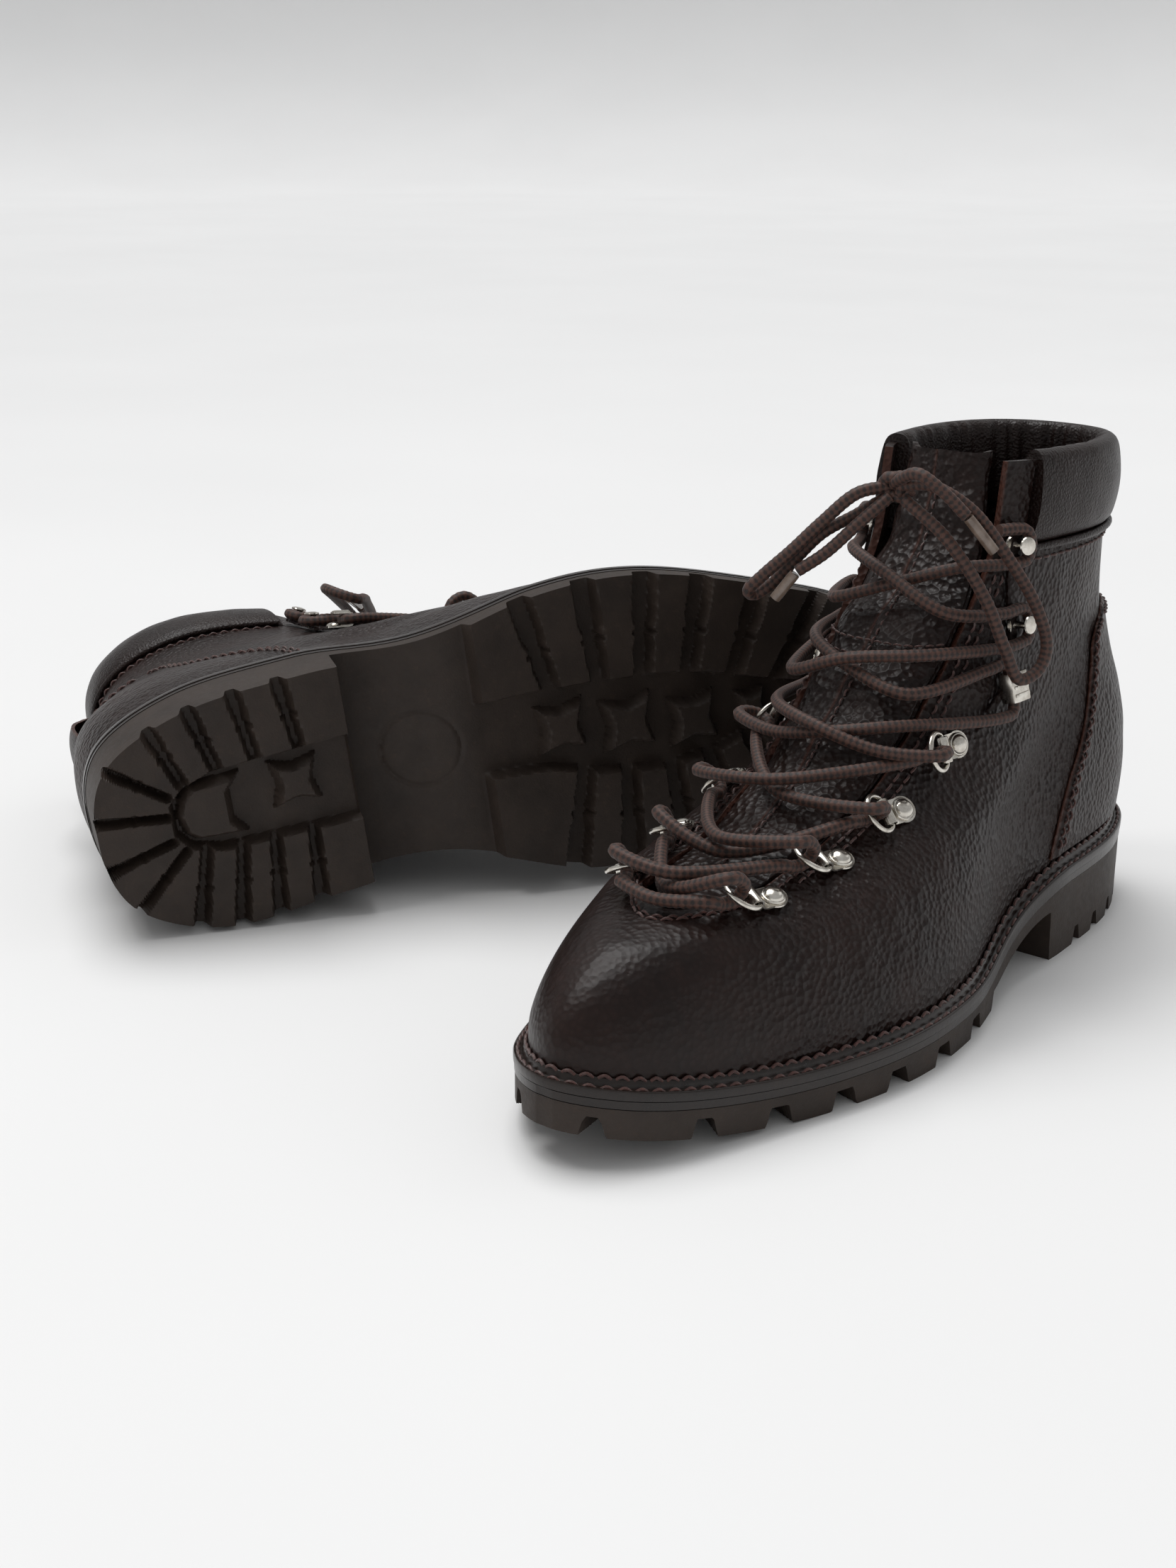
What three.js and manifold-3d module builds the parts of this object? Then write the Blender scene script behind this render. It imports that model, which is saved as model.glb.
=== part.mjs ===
// A pair of lugged leather mountaineering boots, in millimetres. The left boot stands on the floor with its toe
// towards -Y, and the right boot, its mirror image, lies behind it on its medial side.
//
// Boot coordinates: x runs across the boot, positive to the lateral side, s is the distance forward from the back
// of the heel, and z is the height. s becomes y = HEEL_BACK_Y - s.
import * as THREE from 'three';
import { mergeVertices } from 'three/addons/utils/BufferGeometryUtils.js';
import Module from 'manifold-3d';

const wasm = await Module();
wasm.setup();

// Driving dimensions.
const HEEL_BACK_Y = 40;
const SOLE_LENGTH = 306;
const HEEL_LENGTH = 91;
const TREAD_START = 138;
const LUG_DEPTH = 6;
const HEEL_SEAT = 30.7;
const SEAT_DROP = 15.8;
const TOE_SPRING = 11.6;
const SPRING_START = 225;
const WELT_WIDTH = 4;
const WELT_THICKNESS = 3;
const OUTSOLE_DEPTH = 6;
const LEATHER = 3;
const FOOTBED_INSET = 13;
const GAP = 0.3;
const THROAT_START = 0.385;
const COLLAR_START = 0.905;
const LACE_RADIUS = 2;
const RING_WIRE = 0.85;
const RING_RADIUS = 5.8;
const CLIP_WIDTH = 8;
const BAR_HEIGHT = 3.2;
const RING_LIFT = THREE.MathUtils.degToRad(24);

// The right boot's resting place: its medial welt and heel edge on the floor.
const LYING_EULER = [-93.2, -57.5, 79.6];
const LYING_POSITION = [-191, -209.4, 40.9];

// Sole outline, as (x, s), through a closed Catmull-Rom spline.
const OUTLINE = [
  [1.9, 0], [26, 8], [39.9, 38], [43.7, 80], [43.8, 118], [53.7, 165], [52.7, 205], [38.5, 252], [21.4, 291],
  [1.1, 306], [-21.5, 292], [-40.9, 258], [-52.8, 222], [-51.9, 172], [-35.6, 125], [-37.5, 80], [-39.8, 38],
  [-25.4, 8],
];

// Lines of the upper from the feather edge to the collar top. back and front are (s, z) of the ring's two ends,
// heel and fore scale the sole outline's width, round blends it into an oval of the given half width, and blunt
// is the exponent of that oval's nose.
const LEVELS = [
  { back: [4.5, 30.8], front: [301.5, 26.4], heel: 1, fore: 1, round: 0, half: 36, blunt: 0.9 },
  { back: [2.6, 41], front: [300.5, 36.5], heel: 1.01, fore: 0.99, round: 0, half: 36, blunt: 0.9 },
  { back: [1.6, 51], front: [292, 47], heel: 1, fore: 0.9, round: 0, half: 36, blunt: 0.9 },
  { back: [1.8, 60], front: [275, 55], heel: 0.97, fore: 0.8, round: 0, half: 36, blunt: 0.85 },
  { back: [2.6, 69], front: [249, 59.5], heel: 0.94, fore: 0.77, round: 0.05, half: 34, blunt: 0.8 },
  { back: [4.4, 80], front: [218, 64.5], heel: 0.91, fore: 0.76, round: 0.25, half: 33, blunt: 0.7 },
  { back: [7, 92], front: [186, 77.5], heel: 0.88, fore: 0.76, round: 0.6, half: 32, blunt: 0.62 },
  { back: [9.5, 105], front: [162, 97], heel: 0.86, fore: 0.76, round: 0.92, half: 31, blunt: 0.56 },
  { back: [12.5, 120], front: [142, 115], heel: 0.85, fore: 0.76, round: 1, half: 30, blunt: 0.52 },
  { back: [16.5, 138], front: [120, 139], heel: 0.85, fore: 0.76, round: 1, half: 30, blunt: 0.5 },
  { back: [17.5, 165], front: [112, 168], heel: 0.85, fore: 0.76, round: 1, half: 31, blunt: 0.5 },
];

const clamp = THREE.MathUtils.clamp;
const lerp = THREE.MathUtils.lerp;
const smooth = (value) => THREE.MathUtils.smoothstep(value, 0, 1);
const vec = (x, y, z) => new THREE.Vector3(x, y, z);
const range = (count) => Array.from({ length: count }, (_, index) => index);

// ---------------------------------------------------------------- solids from points

function geometryOf(points, triangles) {
  let volume = 0;
  for (const [a, b, c] of triangles) {
    volume += points[a].dot(points[b].clone().cross(points[c]));
  }
  const order = volume > 0 ? (t) => t : ([a, b, c]) => [a, c, b];
  const geometry = new THREE.BufferGeometry();
  geometry.setAttribute('position', new THREE.Float32BufferAttribute(points.flatMap((p) => p.toArray()), 3));
  geometry.setIndex(triangles.flatMap(order));
  return geometry;
}

// A closed skin between an outer and an inner grid of points, with side walls round every missing cell.
function shell(rows, columns, outer, inner, wrap, present = () => true) {
  const width = wrap ? columns : columns + 1;
  const corner = (row, column, layer) => (row * width + (column % width)) * 2 + layer;
  const points = [];
  for (const row of range(rows + 1)) {
    for (const column of range(width)) points.push(outer(row, column), inner(row, column));
  }
  const solid = (row, column) => {
    const inside = row >= 0 && row < rows && (wrap || (column >= 0 && column < columns));
    return inside && present(row, (column + columns) % columns);
  };
  const triangles = [];
  const quad = (a, b, c, d) => triangles.push([a, b, c], [a, c, d]);
  const wall = (r0, c0, r1, c1) => quad(corner(r0, c0, 0), corner(r0, c0, 1), corner(r1, c1, 1), corner(r1, c1, 0));
  for (const r of range(rows)) {
    for (const c of range(columns)) {
      if (!solid(r, c)) continue;
      quad(corner(r, c, 0), corner(r, c + 1, 0), corner(r + 1, c + 1, 0), corner(r + 1, c, 0));
      quad(corner(r, c, 1), corner(r + 1, c, 1), corner(r + 1, c + 1, 1), corner(r, c + 1, 1));
      if (!solid(r - 1, c)) wall(r, c, r, c + 1);
      if (!solid(r + 1, c)) wall(r + 1, c + 1, r + 1, c);
      if (!solid(r, c - 1)) wall(r + 1, c, r, c);
      if (!solid(r, c + 1)) wall(r, c + 1, r + 1, c + 1);
    }
  }
  return compact(points, triangles);
}

function compact(points, triangles) {
  const used = [...new Set(triangles.flat())];
  const place = new Map(used.map((old, index) => [old, index]));
  return geometryOf(used.map((old) => points[old]), triangles.map((t) => t.map((old) => place.get(old))));
}

// A slab between two height functions of s, from cross strips { s, low, high } along the boot.
function slab(strips, bottom, top) {
  const points = strips.flatMap(({ s, low, high }) => [
    at(low, s, bottom(s)), at(high, s, bottom(s)), at(high, s, top(s)), at(low, s, top(s)),
  ]);
  const last = 4 * (strips.length - 1);
  const triangles = [[0, 1, 2], [0, 2, 3], [last, last + 2, last + 1], [last, last + 3, last + 2]];
  for (let base = 0; base < last; base += 4) {
    for (const side of range(4)) {
      const a = base + side;
      const b = base + ((side + 1) % 4);
      triangles.push([a, a + 4, b], [b, a + 4, b + 4]);
    }
  }
  return geometryOf(points, triangles);
}

// An upright prism on a convex or star-shaped outline of (x, s) points.
function prism(outline, bottom, top) {
  const flat = outline.map(([x, s]) => new THREE.Vector2(x, s));
  const caps = THREE.ShapeUtils.triangulateShape(flat, []);
  const count = outline.length;
  const points = [...outline.map(([x, s]) => at(x, s, bottom)), ...outline.map(([x, s]) => at(x, s, top))];
  const around = THREE.ShapeUtils.isClockWise(flat) ? -1 : 1;
  const triangles = [];
  for (const [a, b, c] of caps) {
    const facing = around * crossSign(flat[a], flat[b], flat[c]);
    const cap = facing > 0 ? [a, b, c] : [a, c, b];
    triangles.push(cap, [cap[0] + count, cap[2] + count, cap[1] + count]);
  }
  for (const a of range(count)) {
    const b = (a + 1) % count;
    triangles.push([b, a, a + count], [b, a + count, b + count]);
  }
  return geometryOf(points, triangles);
}

function crossSign(a, b, c) {
  return Math.sign((b.x - a.x) * (c.y - a.y) - (b.y - a.y) * (c.x - a.x));
}

function toManifold(geometry) {
  const bare = geometry.clone();
  bare.deleteAttribute('normal');
  bare.deleteAttribute('uv');
  const merged = mergeVertices(bare, 1e-4);
  return new wasm.Manifold(new wasm.Mesh({
    numProp: 3,
    vertProperties: merged.attributes.position.array,
    triVerts: new Uint32Array(merged.index.array),
  }));
}

function fromManifold(solid) {
  const mesh = solid.getMesh();
  const geometry = new THREE.BufferGeometry();
  geometry.setAttribute('position', new THREE.Float32BufferAttribute(mesh.vertProperties, 3));
  geometry.setIndex(Array.from(mesh.triVerts));
  return geometry;
}

const join = (parts) => fromManifold(parts.map(toManifold).reduce((whole, part) => whole.add(part)));

// ---------------------------------------------------------------- the shape of the boot

const at = (x, s, z) => vec(x, HEEL_BACK_Y - s, z);
const springAt = (s) => TOE_SPRING * clamp((s - SPRING_START) / (SOLE_LENGTH - SPRING_START), 0, 1) ** 2;
const weltTop = (s) => HEEL_SEAT - SEAT_DROP * smooth((s - 78) / 74) + springAt(s);
const outsoleTop = (s) => weltTop(s) - OUTSOLE_DEPTH;
const treadRoot = (s) => lerp(17.6, LUG_DEPTH, smooth((s - HEEL_LENGTH) / 47)) + springAt(s);

const outlineCurve = new THREE.CatmullRomCurve3(OUTLINE.map(([x, s]) => vec(x, s, 0)), true, 'catmullrom', 0.5);

function outline(count, inset) {
  const points = range(count).map((index) => outlineCurve.getPoint(index / count));
  return points.map((point, index) => {
    const next = points[(index + 1) % count];
    const before = points[(index + count - 1) % count];
    const along = next.clone().sub(before).normalize();
    return vec(point.x - along.y * inset, point.y + along.x * inset, 0);
  });
}

const RING_POINTS = 360;
const feather = outline(RING_POINTS, WELT_WIDTH + 2 * GAP);
const featherBack = Math.min(...feather.map((p) => p.y));
const featherFront = Math.max(...feather.map((p) => p.y));

const catmull = (a, b, c, d, f) =>
  0.5 * (2 * b + (c - a) * f + (2 * a - 5 * b + 4 * c - d) * f * f + (3 * b - a - 3 * c + d) * f ** 3);

function levelAt(t) {
  const place = clamp(t, 0, 1) * (LEVELS.length - 1);
  const index = Math.min(Math.floor(place), LEVELS.length - 2);
  const pick = (offset, read) => {
    const inside = clamp(index + offset, 0, LEVELS.length - 1);
    const value = read(LEVELS[inside]);
    const beyond = index + offset - inside;
    return beyond === 0 ? value : 2 * value - read(LEVELS[inside - beyond]);
  };
  const mix = (read) => catmull(...[-1, 0, 1, 2].map((offset) => pick(offset, read)), place - index);
  return {
    back: [mix((l) => l.back[0]), mix((l) => l.back[1])],
    front: [mix((l) => l.front[0]), mix((l) => l.front[1])],
    heel: mix((l) => l.heel), fore: mix((l) => l.fore),
    round: mix((l) => l.round), half: mix((l) => l.half), blunt: mix((l) => l.blunt),
  };
}

// One closed line round the upper at level t, as dense points.
function ring(t) {
  const level = levelAt(t);
  const lift = smooth((t * (LEVELS.length - 1)) / 3);
  return feather.map((base, index) => {
    const a = clamp((base.y - featherBack) / (featherFront - featherBack), 0, 1);
    const s = lerp(level.back[0], level.front[0], a);
    const width = lerp(level.heel, level.fore, smooth((a - 0.25) / 0.45));
    const turn = Math.acos(1 - 2 * a);
    const exponent = lerp(0.9, level.blunt, smooth((a - 0.3) / 0.5));
    const side = index < RING_POINTS / 2 ? 1 : -1;
    const oval = side * level.half * Math.sin(turn) ** exponent * (1 + 0.06 * Math.cos(turn));
    const rise = lerp(level.back[1] - LEVELS[0].back[1], level.front[1] - LEVELS[0].front[1], a);
    const low = weltTop(base.y) + rise;
    const high = lerp(level.back[1], level.front[1], a);
    return at(lerp(base.x * width, oval, level.round), s, lerp(low, high, lift));
  });
}

const throatHalf = (t) => lerp(15, 22, smooth((t - 0.3) / 0.45));

// Points of a ring at even distances along the stretch between two of its dense points.
function spread(points, from, to, count) {
  const stretch = range(to - from + 1).map((step) => points[(from + step) % RING_POINTS]);
  const path = new THREE.CurvePath();
  for (const index of range(stretch.length - 1)) path.add(new THREE.LineCurve3(stretch[index], stretch[index + 1]));
  return range(count).map((index) => path.getPointAt(index / count));
}

// Ring resampled so that the throat's two edges and the front centre keep their columns on every level.
const SIDE_COLUMNS = 9;
const THROAT_COLUMNS = 3;
const COLUMNS = 2 * (SIDE_COLUMNS + THROAT_COLUMNS);

function evenRing(t) {
  const points = ring(t);
  const front = RING_POINTS / 2;
  const half = throatHalf(t);
  const middle = points[front].x;
  let lateral = front;
  while (points[lateral].x - middle < half) lateral -= 1;
  let medial = front;
  while (middle - points[medial].x < half) medial += 1;
  return [
    ...spread(points, 0, lateral, SIDE_COLUMNS),
    ...spread(points, lateral, front, THROAT_COLUMNS),
    ...spread(points, front, medial, THROAT_COLUMNS),
    ...spread(points, medial, RING_POINTS, SIDE_COLUMNS),
  ];
}

const ringCache = new Map();
function cachedRing(t) {
  if (!ringCache.has(t)) ringCache.set(t, evenRing(t));
  return ringCache.get(t);
}

// The upper's surface at level t and column (0 at the heel, then lateral, front and medial), moved out by offset.
function surface(t, column, offset) {
  const step = 0.5;
  const spot = (level, place) => {
    const points = cachedRing(clamp(level, 0, 1));
    const low = Math.floor(place);
    const a = points[(low + COLUMNS) % COLUMNS];
    const b = points[(low + 1 + COLUMNS) % COLUMNS];
    return a.clone().lerp(b, place - low);
  };
  const point = spot(t, column);
  const along = spot(t, column + step).sub(spot(t, column - step));
  const up = spot(t + 0.01, column).sub(spot(t - 0.01, column));
  return point.addScaledVector(up.cross(along).normalize(), offset);
}

// Point, outward normal and directions of the surface where |x| is given on a side (+1 lateral, -1 medial).
function station(t, x) {
  const points = ring(t);
  const front = RING_POINTS / 2;
  const side = Math.sign(x);
  let index = front;
  while (side * (points[index].x - x) < 0) index -= side;
  const inner = points[index + side];
  const share = clamp((x - inner.x) / (points[index].x - inner.x), 0, 1);
  const between = (line) => line[index + side].clone().lerp(line[index], share);
  const point = between(points);
  const above = between(ring(Math.min(t + 0.02, 1)));
  const along = points[index - 2 * side].clone().sub(points[index + 2 * side]).normalize();
  const normal = along.clone().cross(above.sub(point)).multiplyScalar(side).normalize();
  const edge = normal.clone().cross(along).normalize();
  return new THREE.Matrix4().makeBasis(along, edge, normal).setPosition(point.addScaledVector(normal, CLIP_SEAT));
}

// ---------------------------------------------------------------- sole and welt

const SOLE_STATIONS = [
  0.4, 2, 5, 10, 18, 30, 50, 70, 78, 86, 94, 102, 110, 118, 126, 134, 142, 152, 165, 180, 195, 210, 225, 240, 254,
  266, 277, 286, 294, 300, 304, 305.7,
];

function soleStrips(inset, from = 0, to = SOLE_LENGTH) {
  const points = outline(RING_POINTS, inset);
  const across = (s, side) => {
    const half = side > 0 ? points.slice(0, RING_POINTS / 2 + 1) : points.slice(RING_POINTS / 2).reverse();
    const index = clamp(half.findIndex((p) => p.y >= s), 1, half.length - 1);
    const [a, b] = [half[index - 1], half[index]];
    return lerp(a.x, b.x, clamp((s - a.y) / (b.y - a.y), 0, 1));
  };
  const stations = SOLE_STATIONS.map((s) => lerp(inset, SOLE_LENGTH - inset, s / SOLE_LENGTH));
  return stations.filter((s) => s >= from && s <= to).map((s) => ({ s, low: across(s, -1), high: across(s, 1) }));
}

// Each groove runs from its outer to its inner end, as [x, s], with its width.
const HEEL_GROOVES = [
  [[48, 69], [19, 73], 4], [[48, 53], [18, 57.5], 4], [[44, 37], [17, 44], 4], [[40, 22], [15, 31.5], 4],
  [[28, 3], [11, 26], 2.4], [[8, -4], [4, 25], 2.4], [[-12, -3], [-5, 25], 2.4], [[-30, 6], [-9, 29], 2.4],
  [[-44, 27], [-11, 35.5], 4], [[-44, 42], [-12, 48], 4], [[-44, 56], [-12, 59.5], 4], [[-44, 71], [-12, 73], 4],
];
const FOREFOOT_GROOVES = [
  [[58, 156], [16, 165], 7], [[60, 181], [16, 183], 7], [[60, 205.5], [14, 199], 7], [[56, 228], [11, 216], 7],
  [[46, 251], [7, 233], 7], [[36, 276], [3, 250], 6], [[16, 308], [-1, 262], 5], [[-15, 308], [-5, 262], 5],
  [[-36, 280], [-10, 252], 6], [[-50, 256], [-17, 238], 7], [[-58, 232], [-20, 222], 7],
  [[-60, 209], [-20, 207], 7], [[-60, 186], [-18, 190], 7], [[-58, 163], [-13, 174], 7],
];
const HEEL_POCKET = [
  { s: 26, low: -3, high: 8 }, { s: 31, low: -9, high: 13 }, { s: 42, low: -12, high: 17 },
  { s: 88, low: -12, high: 19 }, { s: 96, low: -12, high: 19 },
];
const FOREFOOT_POCKET = [
  { s: 130, low: -9, high: 19 }, { s: 160, low: -11, high: 19 }, { s: 180, low: -17, high: 18 },
  { s: 205, low: -21, high: 16 }, { s: 225, low: -19, high: 12 }, { s: 240, low: -15, high: 7 },
  { s: 252, low: -10, high: 3 }, { s: 262, low: -6, high: 0 },
];
const STARS = [[3, 167, 12], [-1, 192, 13], [-5, 217, 12], [-5, 240, 8]];
const HEEL_STAR = [6, 70, 11];
const HEEL_U = [[13, 34], [14, 52], [8, 47], [-2, 47], [-8, 52], [-7, 34], [-4, 30], [3, 28], [9, 30]];

function groove([outer, inner, width], depth) {
  const from = new THREE.Vector2(...outer);
  const along = new THREE.Vector2(...inner).sub(from);
  const across = new THREE.Vector2(-along.y, along.x).setLength(width / 2);
  const end = from.clone().add(along);
  const corners = [from.clone().add(across), from.clone().sub(across), end.clone().sub(across), end.add(across)];
  const middle = from.y + along.y / 2;
  return prism(corners.map((c) => [c.x, c.y]), springAt(middle) - 8, springAt(middle) + depth);
}

function star([x, s, radius]) {
  const corners = range(8).map((index) => {
    const reach = index % 2 ? radius * 0.5 : radius;
    const angle = Math.PI / 4 + (index * Math.PI) / 4;
    return [x + reach * Math.cos(angle), s + reach * Math.sin(angle)];
  });
  return prism(corners, springAt(s), springAt(s) + LUG_DEPTH + 1);
}

function outsole() {
  const heel = slab([...soleStrips(0.5, 0, 88), { ...soleStrips(0.5, 88, 95)[0], s: HEEL_LENGTH }], () => 0, outsoleTop);
  const forepart = slab(soleStrips(0.5, 76), treadRoot, outsoleTop);
  const tread = slab(soleStrips(0.5, TREAD_START), springAt, outsoleTop);
  const pockets = [
    slab(HEEL_POCKET, () => -3, () => LUG_DEPTH),
    slab(FOREFOOT_POCKET, (s) => springAt(s) - 6, (s) => springAt(s) + LUG_DEPTH),
  ];
  const grooves = [
    ...HEEL_GROOVES.map((line) => groove(line, LUG_DEPTH)),
    ...FOREFOOT_GROOVES.map((line) => groove(line, LUG_DEPTH - 0.5)),
  ];
  const lugs = [...STARS, HEEL_STAR].map(star);
  lugs.push(prism(HEEL_U, 0, LUG_DEPTH + 1));
  let solid = [heel, forepart, tread].map(toManifold).reduce((whole, part) => whole.add(part));
  for (const cut of [...pockets, ...grooves]) solid = solid.subtract(toManifold(cut));
  for (const lug of lugs) solid = solid.add(toManifold(lug));
  return fromManifold(solid);
}

function midsole() {
  return slab(soleStrips(0.3), (s) => outsoleTop(s) + GAP, (s) => weltTop(s) - WELT_THICKNESS - GAP);
}

function footbed() {
  return slab(soleStrips(FOOTBED_INSET), (s) => weltTop(s) - WELT_THICKNESS + GAP, (s) => weltTop(s) + 1.5);
}

function welt() {
  const count = 60;
  const edge = outline(count, 0);
  const hole = outline(count, WELT_WIDTH);
  const top = (p, lift) => at(p.x, p.y, weltTop(p.y) + lift);
  return shell(1, count, (row, c) => top(row ? hole[c] : edge[c], 0),
    (row, c) => top(row ? hole[c] : edge[c], -WELT_THICKNESS), true);
}

// ---------------------------------------------------------------- leather

const UPPER_LEVELS = [0, 0.06, 0.14, 0.22, 0.3, THROAT_START, 0.47, 0.56, 0.65, 0.74, 0.82, COLLAR_START, 1];

function upper() {
  const levels = UPPER_LEVELS;
  const skin = (offset) => (row, column) => {
    const point = surface(levels[row], column, offset);
    return row === 0 ? point.setZ(point.z + 2 * GAP) : point;
  };
  const throatRow = levels.indexOf(THROAT_START);
  const collarRow = levels.indexOf(COLLAR_START);
  const present = (row, column) => {
    const fromFront = Math.abs(column + 0.5 - COLUMNS / 2);
    const inThroat = fromFront < THROAT_COLUMNS;
    const inFacing = fromFront < THROAT_COLUMNS + 1;
    return !(row >= throatRow && inThroat) && (row < collarRow || inFacing);
  };
  return shell(levels.length - 1, COLUMNS, skin(0), skin(-LEATHER), true, present);
}

// Overlapping flaps that fill the throat and lean inwards at the top.
function tongue() {
  const levels = [0.405, ...UPPER_LEVELS.filter((t) => t > 0.4)];
  const inset = (t) => 0.8 + 7 * smooth((t - 0.8) / 0.2);
  const first = COLUMNS / 2 - THROAT_COLUMNS;
  const columns = 2 * THROAT_COLUMNS;
  const place = (column) => first + 0.13 + (column * (columns - 0.26)) / columns;
  const skin = (depth) => (row, column) => {
    const point = surface(levels[row], place(column), -inset(levels[row]) - depth);
    return row === levels.length - 1 ? point.setZ(point.z + 3) : point;
  };
  return shell(levels.length - 1, columns, skin(0), skin(LEATHER), false);
}

// The counter covers three side columns each way, and narrows towards its top.
function heelCounter() {
  const levels = UPPER_LEVELS.filter((t) => t > 0 && t < 0.75);
  const reach = 3;
  const skin = (offset) => (row, column) => surface(levels[row], column - reach, offset);
  const present = (row, column) => levels[row] < 0.65 || Math.abs(column + 0.5 - reach) < reach - 1;
  return join([shell(levels.length - 1, 2 * reach, skin(GAP + 1.5), skin(GAP), false, present), heelLoop()]);
}

// A finger loop that bows away from the back of the ankle.
function heelLoop() {
  const stops = [[0.64, 1.2], [0.7, 4.5], [0.76, 6.5], [0.82, 6.5], [0.88, 4], [0.9, 1]];
  const skin = (depth) => (row, column) => surface(stops[row][0], (column - 1) * 0.5, stops[row][1] + GAP - depth);
  return shell(stops.length - 1, 2, skin(-1.6), skin(0), false);
}

function collar() {
  const section = [
    [COLLAR_START, 0.5], [0.925, 3], [0.965, 3.4], [0.993, 1.5], [1, -2.5], [0.99, -6], [0.95, -7.6],
    [COLLAR_START, -6.5],
  ];
  const rows = 16;
  const reach = SIDE_COLUMNS - 1.12;
  const corners = range(rows + 1).flatMap((row) => section.map(([t, offset]) => {
    const point = surface(t, lerp(-reach, reach, row / rows), offset);
    return point.setZ(point.z + 0.8 + (t === 1 ? 2 : 0));
  }));
  return loft(corners, section.length);
}

// A closed solid through equal rows of section points.
function loft(points, size) {
  const rows = points.length / size;
  const triangles = [];
  for (const row of range(rows - 1)) {
    for (const side of range(size)) {
      const a = row * size + side;
      const b = row * size + ((side + 1) % size);
      triangles.push([a, b, b + size], [a, b + size, a + size]);
    }
  }
  for (const side of range(size - 2)) {
    const last = (rows - 1) * size;
    triangles.push([0, side + 2, side + 1], [last, last + side + 1, last + side + 2]);
  }
  return geometryOf(points, triangles);
}

// ---------------------------------------------------------------- lacing hardware

// Bars of the four ring clips and the three hooks on each side, as surface level and x.
const CLIPS = [
  { t: 0.365, x: 19 }, { t: 0.435, x: 23 }, { t: 0.53, x: 25 }, { t: 0.625, x: 26.6 },
];
const LOCK_HOOK = { t: 0.69, x: 29.5 };
const SPEED_HOOKS = [{ t: 0.8, x: 27 }, { t: 0.91, x: 23 }];

const CLIP_SEAT = 0.6;

function placed(geometry, matrix) {
  return geometry.clone().applyMatrix4(matrix);
}

// Clip in its own frame: the plate lies on the leather along +X, the roll stands at the origin, Z is away.
function clipProfile() {
  const shape = new THREE.Shape();
  shape.moveTo(11.5, 0.3);
  shape.lineTo(11.5, 1.2);
  shape.lineTo(3.4, 1.3);
  shape.lineTo(2.1, 3.6);
  for (const step of range(5)) {
    const angle = THREE.MathUtils.degToRad(20 + step * 68);
    shape.lineTo(2 * Math.cos(angle), BAR_HEIGHT + 2 * Math.sin(angle));
  }
  shape.lineTo(2.2, 0.4);
  const hole = new THREE.Path();
  hole.absellipse(0, BAR_HEIGHT, 1.35, 1.35, 0, 2 * Math.PI);
  shape.holes.push(hole);
  return shape;
}

function clip() {
  const body = new THREE.ExtrudeGeometry(clipProfile(), { depth: CLIP_WIDTH, bevelEnabled: false, curveSegments: 3 });
  body.translate(0, 0, -CLIP_WIDTH / 2);
  body.rotateX(Math.PI / 2);
  const rivet = new THREE.LatheGeometry(
    [[0, 0.8], [3.9, 0.8], [3.6, 1.9], [0, 3.2]].map(([r, z]) => new THREE.Vector2(r, z)), 8);
  rivet.rotateX(Math.PI / 2);
  rivet.translate(8.4, 0, 0);
  return join([body, rivet]);
}

// D-ring about its straight bar: the bar lies on the Y axis at the origin, the arc reaches to -X.
function dRing() {
  const wire = new THREE.TorusGeometry(RING_RADIUS, RING_WIRE, 5, 12);
  const position = wire.attributes.position;
  const flat = 0.62 * RING_RADIUS;
  for (const index of range(position.count)) {
    const angle = Math.atan2(position.getY(index), position.getX(index));
    const excess = Math.max(RING_RADIUS * Math.cos(angle) - flat, 0);
    position.setX(index, position.getX(index) - excess - flat);
  }
  return wire;
}

function ringFrame(clipPlace) {
  const lift = new THREE.Matrix4().makeRotationY(RING_LIFT).setPosition(0, 0, BAR_HEIGHT);
  return clipPlace.clone().multiply(lift);
}

// Plate, two rivets and a bent-over claw; the claw's mouth opens away from the lacing.
function lockHook() {
  const plate = new THREE.BoxGeometry(9, 11, 1);
  plate.translate(7, 0, 0.9);
  const riser = new THREE.BoxGeometry(1.2, 9, 6);
  riser.translate(1.2, 0, 3.4);
  const foot = new THREE.BoxGeometry(3, 9, 1);
  foot.translate(2, 0, 0.9);
  const claw = new THREE.BoxGeometry(9, 9, 1);
  claw.translate(4.4, 0, 6.3);
  const rivets = [-2.9, 2.9].map((y) => {
    const head = new THREE.CylinderGeometry(1.6, 2.6, 1.6, 6);
    head.rotateX(Math.PI / 2);
    head.translate(8.4, y, 2);
    return head;
  });
  return [plate, riser, foot, claw, ...rivets];
}

function speedHook() {
  const base = new THREE.CylinderGeometry(3, 3, 1, 8);
  base.rotateX(Math.PI / 2);
  base.translate(4, 0, 0.9);
  const stem = new THREE.BoxGeometry(2, 2.6, 5.4);
  stem.translate(4.6, 0, 3.6);
  const cap = new THREE.CylinderGeometry(3, 3, 1, 8);
  cap.rotateX(Math.PI / 2);
  cap.translate(5.4, 0, 6.4);
  return [base, stem, cap];
}

// |x| of the line through the three hooks of a side.
function hookLine(t) {
  const [first, second, third] = [LOCK_HOOK, ...SPEED_HOOKS];
  const [a, b] = t < second.t ? [first, second] : [second, third];
  return lerp(a.x, b.x, (t - a.t) / (b.t - a.t));
}

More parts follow.
